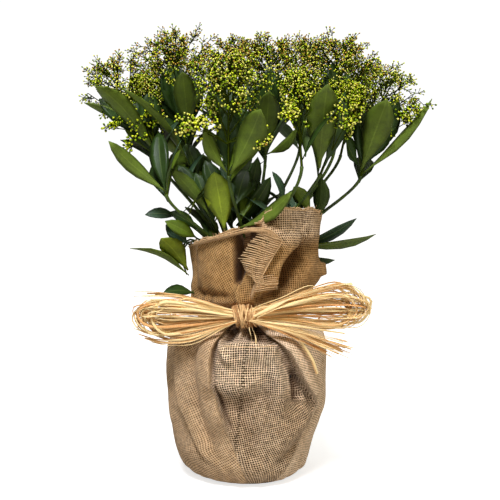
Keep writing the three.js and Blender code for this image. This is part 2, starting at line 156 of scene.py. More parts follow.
@dataclass(frozen=True)
class Ripple:
    """A smooth uneven field, from -1 to 1, made of seeded waves."""

    seed: int
    size: float
    waves: int = 9

    def at(self, places: Array) -> Array:
        """The field at each place.

        Args:
            places: points, one a row, in the units of size.
        Returns:
            One number for each point.
        """
        rng = np.random.default_rng(self.seed)
        total = np.zeros(places.shape[:-1])
        for _ in range(self.waves):
            heading = unit(rng.normal(size=places.shape[-1])) * (math.tau / self.size) * rng.uniform(0.5, 1.7)
            total += np.sin(places @ heading + rng.uniform(0, math.tau))
        return total / math.sqrt(self.waves * 2)


def frames(line: Array, hint: Array) -> tuple[Array, Array]:
    """Two side directions along a line that don't twist about it.

    Args:
        line: its points.
        hint: a direction that the first side is near.
    Returns:
        The first and second side direction at each point.
    """
    ahead = unit(np.gradient(line, axis=0))
    first = np.zeros_like(line)
    side = hint
    for i, forward in enumerate(ahead):
        side = unit(side - forward * (side @ forward))
        first[i] = side
    return first, np.cross(ahead, first)


def mark_points(mesh: bpy.types.Mesh, name: str, values: Sequence[Array]) -> None:
    """Writes a number on each point of a mesh, under a name."""
    layer = mesh.attributes.new(name, "FLOAT", "POINT")
    layer.data.foreach_set("value", np.concatenate(values).astype(np.float32))


def place_in_scene(name: str, data: bpy.types.ID) -> bpy.types.Object:
    """Makes an object and puts it in the scene.

    Args:
        name: its name.
        data: its mesh, light or camera.
    Returns:
        The object.
    """
    made = bpy.data.objects.new(name, data)
    bpy.context.scene.collection.objects.link(made)
    return made


@dataclass
class Draft:
    """Points and faces gathered for one mesh, in millimetres."""

    points: list[Array] = field(default_factory=list)
    faces: list[Array] = field(default_factory=list)
    places: list[Array] = field(default_factory=list)
    kinds: list[Array] = field(default_factory=list)
    marks: dict[str, list[Array]] = field(default_factory=dict)
    count: int = 0

    def add(
        self, points: Array, faces: Array, places: Optional[Array] = None, kinds: Union[int, Array] = 0,
        **marks: Array,
    ) -> None:
        """Adds a set of points and the faces on them.

        Args:
            points: their places, one a row.
            faces: the point numbers of each face, one face a row.
            places: the cloth or grain place of each face corner, or none.
            kinds: the number of the material of each face.
            **marks: a number for each point, under a name.
        """
        self.more(faces + self.count, kinds, places)
        self.points.append(points)
        for name, values in marks.items():
            self.marks.setdefault(name, []).append(np.broadcast_to(values, len(points)))
        self.count += len(points)

    def more(self, faces: Array, kinds: Union[int, Array] = 0, places: Optional[Array] = None) -> None:
        """Adds faces on points that are there already, numbered from the first of all.

        Args:
            faces: the point numbers of each face.
            kinds: the number of the material of each face.
            places: the place of each face corner, or none.
        """
        self.faces.append(faces)
        self.places.append(np.zeros((faces.size, 2)) if places is None else places.reshape(-1, 2))
        self.kinds.append(np.broadcast_to(kinds, len(faces)))

    def piece(self, name: str, *materials: bpy.types.Material, smooth: bool = True) -> bpy.types.Object:
        """Makes the object.

        Args:
            name: its name.
            *materials: its materials, in the order of kinds.
            smooth: whether it is shaded smooth.
        Returns:
            The object, at the origin.
        """
        mesh = bpy.data.meshes.new(name)
        points = np.concatenate(self.points) * MM
        corners = np.concatenate([f.ravel() for f in self.faces])
        sizes = np.concatenate([np.full(len(f), f.shape[1]) for f in self.faces])
        mesh.vertices.add(len(points))
        mesh.vertices.foreach_set("co", points.ravel().astype(np.float32))
        mesh.loops.add(len(corners))
        mesh.loops.foreach_set("vertex_index", corners.astype(np.int32))
        mesh.polygons.add(len(sizes))
        starts = np.concatenate([[0], np.cumsum(sizes)[:-1]])
        mesh.polygons.foreach_set("loop_start", starts.astype(np.int32))
        mesh.polygons.foreach_set("material_index", np.concatenate(self.kinds).astype(np.int32))
        mesh.update(calc_edges=True)
        layer = mesh.uv_layers.new(name="cloth")
        layer.data.foreach_set("uv", np.concatenate(self.places).ravel().astype(np.float32))
        for label, values in self.marks.items():
            mark_points(mesh, label, values)
        if smooth:
            mesh.shade_smooth()
        for material in materials:
            mesh.materials.append(material)
        return place_in_scene(name, mesh)


def grid_faces(rows: int, columns: int, closed: bool) -> Array:
    """Four-cornered faces on a grid of points numbered row by row.

    Args:
        rows: how many rows of points.
        columns: how many points in a row.
        closed: whether the last column joins the first.
    Returns:
        The point numbers of each face, facing out where rows rise and columns turn anticlockwise from above.
    """
    r = np.arange(rows - 1)[:, None]
    c = np.arange(columns if closed else columns - 1)[None, :]
    d = (c + 1) % columns
    low, high = r * columns, (r + 1) * columns
    return np.stack([low + c, low + d, high + d, high + c], axis=-1).reshape(-1, 4)


def add_rings(draft: Draft, rings: Array, foot: Sequence[float], tip: Sequence[float]) -> None:
    """Adds a closed body of rings of points, shut by a fan of faces at each end.

    Args:
        draft: what it is added to.
        rings: its points, by ring and by place in the ring.
        foot: the middle of the fan on the first ring.
        tip: the middle of the fan on the last ring.
    """
    rows, sides = rings.shape[:2]
    start, end = draft.count, draft.count + rows * sides
    draft.add(np.vstack([rings.reshape(-1, 3), [foot, tip]]), grid_faces(rows, sides, True))
    c = np.arange(sides)
    d = (c + 1) % sides
    last = start + (rows - 1) * sides
    draft.more(np.stack([start + d, start + c, np.full(sides, end)], axis=1))
    draft.more(np.stack([last + c, last + d, np.full(sides, end + 1)], axis=1))


def lathe(outline: Array, segments: int) -> Array:
    """Rings of points turned about the upright axis.

    Args:
        outline: the reach and height of each ring.
        segments: how many points a ring has.
    Returns:
        The points, by ring and by place in the ring.
    """
    turn = np.linspace(0, math.tau, segments, endpoint=False)
    return stack(outline[:, :1] * np.cos(turn), outline[:, :1] * np.sin(turn), outline[:, 1:])


def add_tube(draft: Draft, line: Array, radius: Array) -> None:
    """Adds a closed tube along a line.

    Args:
        draft: what it is added to.
        line: the points of its middle.
        radius: its radius at each point and side.
    """
    first, second = frames(line, np.array([0.3, 1.0, 0.1]))
    turn = np.linspace(0, math.tau, radius.shape[1], endpoint=False)
    ring = np.cos(turn)[:, None] * first[:, None] + np.sin(turn)[:, None] * second[:, None]
    add_rings(draft, line[:, None] + ring * radius[..., None], line[0], line[-1])


@dataclass
class Strands:
    """Lines gathered to be grown into threads, stalks or straws, in millimetres."""

    lines: list[Array] = field(default_factory=list)
    girths: list[Array] = field(default_factory=list)
    facings: list[Array] = field(default_factory=list)
    tones: list[Array] = field(default_factory=list)

    def add(
        self, line: Array, girth: Union[float, Array], facing: Union[Array, Sequence[float]] = (0, -1, 0),
        tone: float = 0.5,
    ) -> None:
        """Adds one line.

        Args:
            line: its points.
            girth: its half width, for all of it or at each point.
            facing: the way its flat side looks, for all of it or at each point.
            tone: where its colour falls, from 0, dark, to 1, light.
        """
        self.lines.append(line)
        self.girths.append(np.broadcast_to(girth, len(line)) * MM)
        self.facings.append(np.broadcast_to(facing, line.shape))
        self.tones.append(np.full(len(line), tone))

    def source(self, name: str) -> bpy.types.Object:
        """Makes the object of bare edges that a tree grows from.

        Args:
            name: its name.
        Returns:
            The object, with girth, facing and tone on its points.
        """
        mesh = bpy.data.meshes.new(name)
        starts = np.cumsum([0] + [len(line) for line in self.lines])
        firsts = np.concatenate([np.arange(a, b - 1) for a, b in zip(starts, starts[1:])])
        edges = np.stack([firsts, firsts + 1], axis=1)
        points = np.concatenate(self.lines) * MM
        mesh.vertices.add(len(points))
        mesh.vertices.foreach_set("co", points.ravel().astype(np.float32))
        mesh.edges.add(len(edges))
        mesh.edges.foreach_set("vertices", edges.ravel().astype(np.int32))
        mark_points(mesh, "girth", self.girths)
        mark_points(mesh, "tone", self.tones)
        layer = mesh.attributes.new("facing", "FLOAT_VECTOR", "POINT")
        layer.data.foreach_set("vector", np.concatenate(self.facings).ravel().astype(np.float32))
        return place_in_scene(name, mesh)


# ---------------------------------------------------------------- nodes


class Nodes:
    """Short ways to add and join the nodes of one tree."""

    def __init__(self, tree: bpy.types.NodeTree) -> None:
        """Takes the tree that the nodes go in."""
        self.tree = tree

    def feed(self, socket: Socket, value: object) -> None:
        """Joins a socket to another, or gives it a plain value.

        Args:
            socket: the input.
            value: the socket or the value that it takes.
        """
        if isinstance(value, bpy.types.NodeSocket):
            self.tree.links.new(value, socket)
        else:
            socket.default_value = value

    def add(
        self, kind: str, values: Optional[dict[Union[str, int], object]] = None, **settings: object
    ) -> bpy.types.Node:
        """Adds a node.

        Args:
            kind: its type.
            values: what its inputs take, by name or number.
            **settings: its own settings.
        Returns:
            The node.
        """
        node = self.tree.nodes.new(kind)
        for name, setting in settings.items():
            setattr(node, name, setting)
        for name, value in (values or {}).items():
            self.feed(node.inputs[name], value)
        return node

    def calc(self, operation: str, *values: object) -> Socket:
        """The result of one sum."""
        return self.add("ShaderNodeMath", dict(enumerate(values)), operation=operation).outputs[0]

    def vector(self, operation: str, *values: object) -> Socket:
        """The result of one sum of vectors."""
        return self.add("ShaderNodeVectorMath", dict(enumerate(values)), operation=operation).outputs[0]

    def mix(self, share: object, first: object, second: object, blend: str = "MIX") -> Socket:
        """Two colours mixed."""
        values = {0: share, 6: first, 7: second}
        return self.add("ShaderNodeMix", values, data_type="RGBA", blend_type=blend).outputs[2]

    def times(self, first: object, second: object) -> Socket:
        """One colour darkened by another."""
        return self.mix(1.0, first, second, "MULTIPLY")

    def colour(self, red: object, green: object, blue: object) -> Socket:
        """A colour from its three channels."""
        return self.add("ShaderNodeCombineColor", {0: red, 1: green, 2: blue}).outputs[0]

    def between(
        self, value: object, low: float, high: float, first: float = 0.0, last: float = 1.0
    ) -> Socket:
        """A value carried from one range to another and held inside it."""
        return self.add("ShaderNodeMapRange", {0: value, 1: low, 2: high, 3: first, 4: last}).outputs[0]

    def noise(self, place: object, scale: object, detail: float, output: int = 0) -> Socket:
        """An uneven field from 0 to 1, or an uneven colour from output 1."""
        values = {"Vector": place, "Scale": scale, "Detail": detail}
        return self.add("ShaderNodeTexNoise", values).outputs[output]

    def carried(self, name: str, kind: str = "FLOAT") -> Socket:
        """What each point of a tree's mesh carries under a name."""
        return self.add("GeometryNodeInputNamedAttribute", {"Name": name}, data_type=kind).outputs[0]

    def group(self, tree: bpy.types.NodeTree, **values: object) -> bpy.types.Node:
        """Adds a shared group.

        Args:
            tree: the group.
            **values: what its inputs take, by name.
        Returns:
            The node.
        """
        node = self.add("ShaderNodeGroup", node_tree=tree)
        for name, value in values.items():
            self.feed(node.inputs[name], value)
        return node


def group_of(
    name: str, family: str, takes: dict[str, tuple[str, object]], gives: dict[str, str]
) -> tuple[Nodes, bpy.types.NodeOutputs, bpy.types.NodeInputs]:
    """Starts a node group.

    Args:
        name: its name.
        family: ShaderNodeTree for an effect of materials, or GeometryNodeTree for a tree that grows meshes.
        takes: its inputs, each with a kind and a first value.
        gives: its outputs, each with a kind.
    Returns:
        The node helper, the sockets that hold what the group is given, and those that take its results.
    """
    tree = bpy.data.node_groups.new(name, family)
    for label, (kind, first) in takes.items():
        socket = tree.interface.new_socket(name=label, in_out="INPUT", socket_type="NodeSocket" + kind)
        if first is not None:
            socket.default_value = first
    for label, kind in gives.items():
        tree.interface.new_socket(name=label, in_out="OUTPUT", socket_type="NodeSocket" + kind)
    nodes = Nodes(tree)
    return nodes, nodes.add("NodeGroupInput").outputs, nodes.add("NodeGroupOutput").inputs


@lru_cache(maxsize=None)
def mottle_effect() -> bpy.types.NodeTree:
    """Makes the group that mixes two colours in soft patches and fine flecks.

    Returns:
        The group.
    """
    colours = {"Light": ("Color", None), "Dark": ("Color", None)}
    takes = {"Place": ("Vector", None), "Size": ("Float", 10.0), **colours, "Fleck": ("Float", 0.3)}
    n, given, result = group_of("Mottle", "ShaderNodeTree", takes, {"Color": "Color", "Field": "Float"})
    place = n.vector("MULTIPLY", given["Place"], PER_METRE)
    patch = n.noise(place, n.calc("DIVIDE", 1.0, given["Size"]), 3.0)
    fleck = n.noise(place, n.calc("DIVIDE", 7.0, given["Size"]), 2.0)
    both = n.calc("ADD", patch, n.calc("MULTIPLY", n.calc("SUBTRACT", fleck, 0.5), given["Fleck"]))
    n.feed(result["Color"], n.mix(n.between(both, 0.32, 0.68), given["Dark"], given["Light"]))
    n.feed(result["Field"], both)
    return n.tree


@lru_cache(maxsize=None)
def weave_effect() -> bpy.types.NodeTree:
    """Makes the group that lays a plain weave of uneven threads over a cloth, with holes between them.

    Returns:
        The group.
    """
    sizes = {"Pitch": ("Float", 2.4), "Loose": ("Float", 0.0), "Slack": ("Float", 0.0)}
    gives = {"Height": "Float", "Hole": "Float", "Thread": "Float"}
    n, given, result = group_of("Weave", "ShaderNodeTree", {"Place": ("Vector", None), **sizes}, gives)
    place = n.vector("MULTIPLY", given["Place"], PER_METRE)
    drift = n.vector("SUBTRACT", n.noise(place, 0.02, 1.5, 1), (0.5, 0.5, 0.5))
    drift = n.add("ShaderNodeVectorMath", {0: drift, "Scale": 9.0}, operation="SCALE").outputs[0]
    split = n.add("ShaderNodeSeparateXYZ", {0: n.vector("ADD", place, drift)}).outputs
    across, along = (n.calc("DIVIDE", split[axis], given["Pitch"]) for axis in (0, 1))
    heights, slubs = [], []
    for own, other, start, phase, gap in (
        (across, along, 3.7, 0.0, given["Slack"]), (along, across, 41.3, math.pi, 0.0)
    ):
        number = n.calc("FLOOR", own)
        run = {0: n.calc("MULTIPLY", number, 7.31), 1: n.calc("MULTIPLY", other, 0.3), 2: start}
        slub = n.noise(n.add("ShaderNodeCombineXYZ", run).outputs[0], 1.0, 2.0)
        slubs.append(slub)
        half = n.calc("ADD", n.between(slub, 0.3, 0.7, 0.27, 0.4), n.calc("MULTIPLY", given["Loose"], -0.15))
        half = n.calc("MAXIMUM", n.calc("SUBTRACT", half, n.calc("MULTIPLY", gap, 0.3)), 0.04)
        off = n.calc("DIVIDE", n.calc("SUBTRACT", n.calc("FRACT", own), 0.5), half)
        body = n.calc("SUBTRACT", 1.0, n.calc("MULTIPLY", off, off))
        turn = n.calc("MULTIPLY", n.calc("ADD", n.calc("SUBTRACT", other, 0.5), number), math.pi)
        wave = n.calc("COSINE", n.calc("ADD", turn, phase))
        heights.append(n.calc("ADD", n.calc("MULTIPLY", body, 0.6), n.calc("MULTIPLY", wave, 0.4)))
    height = n.calc("MAXIMUM", n.calc("MAXIMUM", *heights), -0.8)
    n.feed(result["Height"], height)
    n.feed(result["Hole"], n.between(height, -0.26, 0.38, 1.0, 0.0))
    n.feed(result["Thread"], n.calc("MULTIPLY", n.calc("ADD", *slubs), 0.5))
    return n.tree


def tint(red: int, green: int, blue: int) -> tuple[float, float, float, float]:
    """A colour for a shader from a swatch's 0 to 255 values."""
    channels = (((c / 255 + 0.055) / 1.055) ** 2.4 if c > 10 else c / 255 / 12.92 for c in (red, green, blue))
    return (*channels, 1.0)


class Skin:
    """A new material: its tree, its shader and its places."""

    def __init__(self, name: str, roughness: float, specular: float = 0.3, sheen: float = 0.0) -> None:
        """Starts the material.

        Args:
            name: its name.
            roughness: how matt it is.
            specular: how strong its plain gloss is.
            sheen: how much soft fuzz catches the light.
        """
        self.material = bpy.data.materials.new(name)
        self.material.use_nodes = True
        self.n = Nodes(self.material.node_tree)
        self.shader = self.material.node_tree.nodes["Principled BSDF"]
        self.shader.inputs["Roughness"].default_value = roughness
        self.shader.inputs["Specular IOR Level"].default_value = specular
        self.shader.inputs["Sheen Weight"].default_value = sheen
        self.shader.inputs["Sheen Roughness"].default_value = 0.5
        place = self.n.add("ShaderNodeTexCoord")
        self.object, self.cloth = place.outputs["Object"], place.outputs["UV"]

    def mark(self, name: str) -> Socket:
        """A number that the mesh carries on its points."""
        return self.n.add("ShaderNodeAttribute", attribute_name=name).outputs["Fac"]

    def mottle(
        self, place: Socket, size: float, light: Value, dark: Value, fleck: float = 0.3
    ) -> bpy.types.NodeOutputs:
        """The shared uneven colour and its field."""
        values = {"Place": place, "Size": size, "Light": light, "Dark": dark, "Fleck": fleck}
        return self.n.group(mottle_effect(), **values).outputs

    def finish(
        self, colour: Socket, height: Optional[Socket] = None, depth: float = 0.3, strength: float = 0.6,
        roughness: Optional[Socket] = None,
    ) -> bpy.types.Material:
        """Joins the colour and the relief to the shader.

        Args:
            colour: the base colour.
            height: the relief, from 0 to 1, or none.
            depth: how deep the relief is, in millimetres.
            strength: how strongly it turns the light.
            roughness: an uneven roughness, or none.
        Returns:
            The material.
        """
        self.n.feed(self.shader.inputs["Base Color"], colour)
        if height is not None:
            relief = {"Strength": strength, "Distance": depth * MM, "Height": height}
            self.n.feed(self.shader.inputs["Normal"], self.n.add("ShaderNodeBump", relief).outputs[0])
        if roughness is not None:
            self.n.feed(self.shader.inputs["Roughness"], roughness)
        return self.material


@dataclass(frozen=True)
class HessianFinish:
    """Loose plain-woven jute, greyer on the pot and warmer in the ruff, with painted light on its thread crests
    and painted shade in the dips between threads, in its holes, in its deep folds and low on its front panel.
    """

    pitch: float = 2.3
    light: Swatch = (241, 214, 179)
    dark: Swatch = (228, 198, 160)
    # painted shade: the holes in the weave take a near-black brown for the dark pot and the shaded inside of
    # the wrap seen through them
    hole: Swatch = (30, 15, 3)
    warm: Swatch = (194, 172, 133)
    # painted light and shade, one row for each colour channel: the first two numbers lighten the crests of the
    # threads and darken their dips, and the third is how dark painted shade makes the cloth deep in its folds
    painted_shade_by_channel: Path = ((0.48, 1.13, 0.32), (0.4, 1.15, 0.27), (0.28, 1.24, 0.25))

    def material(self) -> bpy.types.Material:
        """Makes the cloth's material, which follows its threads by its own map.

        Returns:
            The material.
        """
        skin = Skin("hessian_weave", 0.95, 0.08, 0.05)
        n = skin.n
        marks = {"Loose": skin.mark("loose"), "Slack": skin.mark("gap")}
        weave = n.group(weave_effect(), Place=skin.cloth, Pitch=self.pitch, **marks).outputs
        patch = skin.mottle(skin.cloth, 34.0, tint(*self.light), tint(*self.dark), 1.0)
        slub = n.between(weave["Thread"], 0.35, 0.65, 0.84, 1.14)
        colour = n.times(patch["Color"], n.colour(slub, slub, slub))
        # a warm darker tint: the warmer tone of the ruff and the flap, a darker tone on the bag's sides, and
        # painted shade low on the front panel below its pouch
        colour = n.mix(skin.mark("warmth_and_shade"), colour, n.times(colour, tint(*self.warm)))
        # painted light and shade: lighter thread crests, darker dips between threads, and darker cloth where it
        # sinks into a fold
        crest = []
        for low, high, deep in self.painted_shade_by_channel:
            painted_thread_shading = n.between(weave["Height"], -0.1, 0.8, low, high)
            crest.append(n.calc("MULTIPLY", painted_thread_shading, n.between(skin.mark("deep"), 0.0, 1.0, 1.0, deep)))
        colour = n.times(colour, n.colour(*crest))
        # painted shade in the holes of the weave
        colour = n.mix(n.calc("MULTIPLY", weave["Hole"], 0.97), colour, tint(*self.hole))
        return skin.finish(colour, weave["Height"], 0.45, 0.6)


@dataclass(frozen=True)
class ThreadFinish:
    """A dry fibre that is paler or darker by the thread, with streaks along it."""

    name: str
    light: Swatch
    dark: Swatch
    roughness: float = 0.8
    sheen: float = 0.1
    streak: float = 1.1
    specular: float = 0.25

    def material(self) -> bpy.types.Material:
        """Makes the fibre's material, which takes each thread's tone from its points.

        Returns:
            The material.
        """
        skin = Skin(self.name, self.roughness, self.specular, self.sheen)
        n = skin.n
        fine = skin.mottle(skin.object, self.streak, WHITE, BLACK, 0.8)["Field"]
        share = n.calc("ADD", skin.mark("tone"), n.calc("MULTIPLY", n.calc("SUBTRACT", fine, 0.5), 0.9))
        colour = n.mix(n.between(share, 0.0, 1.0), tint(*self.dark), tint(*self.light))
        return skin.finish(colour, fine, 0.25, 0.5)


@dataclass(frozen=True)
class PatchFinish:
    """A surface of two close tones in soft patches, with a fine relief."""

    name: str
    light: Swatch
    dark: Swatch
    size: float
    roughness: float
    specular: float = 0.3
    depth: float = 0.2
    strength: float = 0.5

    def material(self) -> bpy.types.Material:
        """Makes the surface's material.

        Returns:
            The material.
        """
        skin = Skin(self.name, self.roughness, self.specular)
        patch = skin.mottle(skin.object, self.size, tint(*self.light), tint(*self.dark), 0.5)
        rough = skin.n.between(patch["Field"], 0.2, 0.8, self.roughness - 0.08, self.roughness + 0.1)
        return skin.finish(patch["Color"], patch["Field"], self.depth, self.strength, rough)


@dataclass(frozen=True)
class BudFinish:
    """A waxy bud, pale at its tip and dark where it leaves its stalk, which is partly its green base and partly
    painted shade.
    """

    name: str
    light: Swatch
    dark: Swatch

    def material(self) -> bpy.types.Material:
        """Makes the bud's material, which follows the tip mark on its points.

        Returns:
            The material.
        """
        skin = Skin(self.name, 0.36, 0.22)
        n = skin.n
        patch = skin.mottle(skin.object, 3.2, WHITE, (0.72, 0.72, 0.68, 1), 0.5)
        # painted shade: the base and sides of each bud run to a near-black dark colour, beside the green of its
        # base
        colour = n.mix(n.between(skin.mark("tip"), -0.55, 0.6), tint(*self.dark), tint(*self.light))
        return skin.finish(n.times(colour, patch["Color"]), patch["Field"], 0.1, 0.3)


class Section(Enum):
    """The cut through a strand: how many sides it has, and how thin it is for its width."""

    THREAD = (3, 1.0)
    STRAW = (6, 0.24)


@lru_cache(maxsize=None)
def strand_tree() -> bpy.types.NodeTree:
    """Makes the tree that grows a tube or a flat straw along each line of bare edges.

    Returns:
        The tree.
    """
    takes = {
        "Lines": ("Geometry", None), "Sides": ("Int", 4), "Thinness": ("Float", 1.0),
        "Finish": ("Material", None)
    }
    n, given, result = group_of("Strands", "GeometryNodeTree", takes, {"Grown": "Geometry"})
    girth, facing = n.carried("girth"), n.carried("facing", "FLOAT_VECTOR")
    lines = n.add("GeometryNodeMeshToCurve", {0: given["Lines"]}).outputs[0]
    lines = n.add("GeometryNodeSetCurveRadius", {"Curve": lines, "Radius": girth}).outputs[0]
    lines = n.add("GeometryNodeSetCurveNormal", {"Curve": lines, "Normal": facing}, mode="FREE").outputs[0]
    ring = n.add("GeometryNodeCurvePrimitiveCircle", {"Resolution": given["Sides"], "Radius": 1.0}).outputs[0]
    thin = n.add("ShaderNodeCombineXYZ", {0: given["Thinness"], 1: 1.0, 2: 1.0}).outputs[0]
    ring = n.add("GeometryNodeTransform", {"Geometry": ring, "Scale": thin}).outputs[0]
    body = n.add("GeometryNodeCurveToMesh", {"Curve": lines, "Profile Curve": ring, "Fill Caps": True})
    if "Scale" in body.inputs:
        n.feed(body.inputs["Scale"], girth)
    body = n.add("GeometryNodeSetShadeSmooth", {"Geometry": body.outputs[0]}).outputs[0]
    body = n.add("GeometryNodeRealizeInstances", {0: body}).outputs[0]
    body = n.add("GeometryNodeSetMaterial", {"Geometry": body, "Material": given["Finish"]}).outputs[0]
    n.feed(result[0], body)
    return n.tree


@lru_cache(maxsize=None)
def bud_tree() -> bpy.types.NodeTree:
    """Makes the tree that sets a small egg-shaped bud on each point, turned along its stalk.

    Returns:
        The tree.
    """
    sizes = {"Segments": ("Int", 6), "Rings": ("Int", 4), "Length": ("Float", 1.15)}
    takes = {"Places": ("Geometry", None), **sizes, "Finish": ("Material", None)}
    n, given, result = group_of("Buds", "GeometryNodeTree", takes, {"Buds": "Geometry"})
    girth, facing = n.carried("girth"), n.carried("facing", "FLOAT_VECTOR")
    round_ball = {"Segments": given["Segments"], "Rings": given["Rings"], "Radius": 1.0}
    ball = n.add("GeometryNodeMeshUVSphere", round_ball).outputs[0]
    stretch = n.add("ShaderNodeCombineXYZ", {0: 1.0, 1: 1.0, 2: given["Length"]}).outputs[0]
    ball = n.add("GeometryNodeTransform", {"Geometry": ball, "Scale": stretch}).outputs[0]
    height = n.add("ShaderNodeSeparateXYZ", {0: n.add("GeometryNodeInputPosition").outputs[0]}).outputs[2]
    mark = {"Geometry": ball, "Name": "tip", "Value": height}
    ball = n.add("GeometryNodeStoreNamedAttribute", mark, data_type="FLOAT").outputs[0]
    turn = n.add("FunctionNodeAlignRotationToVector", {"Vector": facing}, axis="Z").outputs[0]
    spread = {"Points": given["Places"], "Instance": ball, "Rotation": turn, "Scale": girth}
    body = n.add("GeometryNodeInstanceOnPoints", spread).outputs[0]
    body = n.add("GeometryNodeRealizeInstances", {0: body}).outputs[0]
    body = n.add("GeometryNodeSetShadeSmooth", {"Geometry": body}).outputs[0]
    body = n.add("GeometryNodeSetMaterial", {"Geometry": body, "Material": given["Finish"]}).outputs[0]
    n.feed(result[0], body)
    return n.tree


def grow(piece: bpy.types.Object, tree: bpy.types.NodeTree, **inputs: object) -> bpy.types.Object:
    """Grows a piece with a tree and keeps the result as a plain mesh.

    Args:
        piece: the object the tree starts from.
        tree: the Geometry Nodes tree.
        **inputs: the tree's inputs by name.
    Returns:
        The same object, with the grown mesh and no modifier.
    """
    modifier = piece.modifiers.new("Grow", "NODES")
    modifier.node_group = tree
    names = {s.name: s.identifier for s in tree.interface.items_tree if s.in_out == "INPUT"}
    for name, value in inputs.items():
        modifier[names[name]] = value
    graph = bpy.context.evaluated_depsgraph_get()
    grown = piece.evaluated_get(graph)
    mesh = bpy.data.meshes.new_from_object(grown, preserve_all_data_layers=True, depsgraph=graph)
    piece.modifiers.remove(modifier)
    bare = piece.data
    piece.data = mesh
    mesh.name = piece.name
    bpy.data.meshes.remove(bare)
    return piece


def grow_strands(name: str, strands: Strands, section: Section, finish: bpy.types.Material) -> bpy.types.Object:
    """Grows gathered lines into one piece of tubes or straws."""
    sides, thinness = section.value
    return grow(strands.source(name), strand_tree(), Sides=sides, Thinness=thinness, Finish=finish)


def settle(piece: bpy.types.Object, nodes: Iterable[str] = ()) -> bpy.types.Object:
    """Ties a finished piece to the frame.

    Args:
        piece: the piece.
        nodes: the CAD nodes that it stands for.
    Returns:
        The piece.
    """
    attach(piece, "root")
    if nodes:
        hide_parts(*nodes)
    stands_for = ", ".join(nodes) or "nothing of its own"
    log.info("%s: %d faces, stands for %s", piece.name, len(piece.data.polygons), stands_for)
    return piece


# ---------------------------------------------------------------- the pot


@dataclass
class NurseryPot:
    """The plain black pot inside the wrap, with a rolled lip."""

    outline: Path = (
        (30, 2.0), (50, 2.2), (55, 3.2), (56.4, 6), (60, 32), (64.5, 66), (69, 100), (73.6, 129.6),
        (77, 130.4), (77.4, 133), (77.3, 138), (76.4, 139), (73, 139), (72.4, 138), (71.6, 129), (66.8, 98),
        (62.2, 64), (57.6, 30), (54, 5.6), (50, 4.6), (30, 4.5),
    )
    underside: float = 2.0
    floor: float = 4.5
    segments: int = 72

    def build(self) -> bpy.types.Object:
        """Turns the outline round the pot's axis.

        Returns:
            The pot.
        """
        draft = Draft()
        points = lathe(np.array(self.outline), self.segments)
        add_rings(draft, points, (0, 0, self.underside), (0, 0, self.floor))
        finish = PatchFinish("pot_plastic", (38, 36, 34), (22, 21, 20), 18, 0.5, 0.4, 0.05, 0.3)
        return settle(draft.piece("nursery_pot", finish.material()), ["pot"])


@dataclass
class Compost:
    """The crumbly compost that fills the pot."""

    side: Path = ((40, 5.2), (52.6, 5.2), (56.6, 30), (61.2, 64), (65.8, 98), (69.6, 123.6))
    top: float = 125.6
    crumb: float = 1.2
    most_crumb: float = 1.3
    rings: int = 22
    segments: int = 96

    def build(self) -> bpy.types.Object:
        """Builds the plug of compost with its rough top.

        Returns:
            The compost.
        """
        rim = self.side[-1][0]
        face = [(rim * share, self.top) for share in np.linspace(0.985, 0.03, self.rings)]
        points = lathe(np.array([*self.side, *face]), self.segments)
        lift = Ripple(5, 9).at(points) * 0.6 + Ripple(6, 3.2).at(points) * 0.5
        crumbly = slice(len(self.side), None)
        points[crumbly, :, 2] += np.minimum(self.crumb * lift[crumbly], self.most_crumb)
        draft = Draft()
        add_rings(draft, points, (0, 0, self.side[0][1]), (0, 0, self.top))
        finish = PatchFinish("compost_crumb", (70, 50, 34), (26, 18, 12), 3.0, 0.95, 0.15, 0.8, 0.9)
        return settle(draft.piece("compost_fill", finish.material()), ["compost"])


# ---------------------------------------------------------------- the hessian


class FoldKind(Enum):
    """What a fold does to the cloth along its path, which is given from its top down."""

    RIDGE = "ridge"
    VALLEY = "valley"
    TROUGH = "steep-sided valley that narrows down its path"
    LIP_WEST = "cloth lies over its neighbour, raised on the side of the smaller azimuth"
    LIP_EAST = "cloth lies over its neighbour, raised on the side of the larger azimuth"


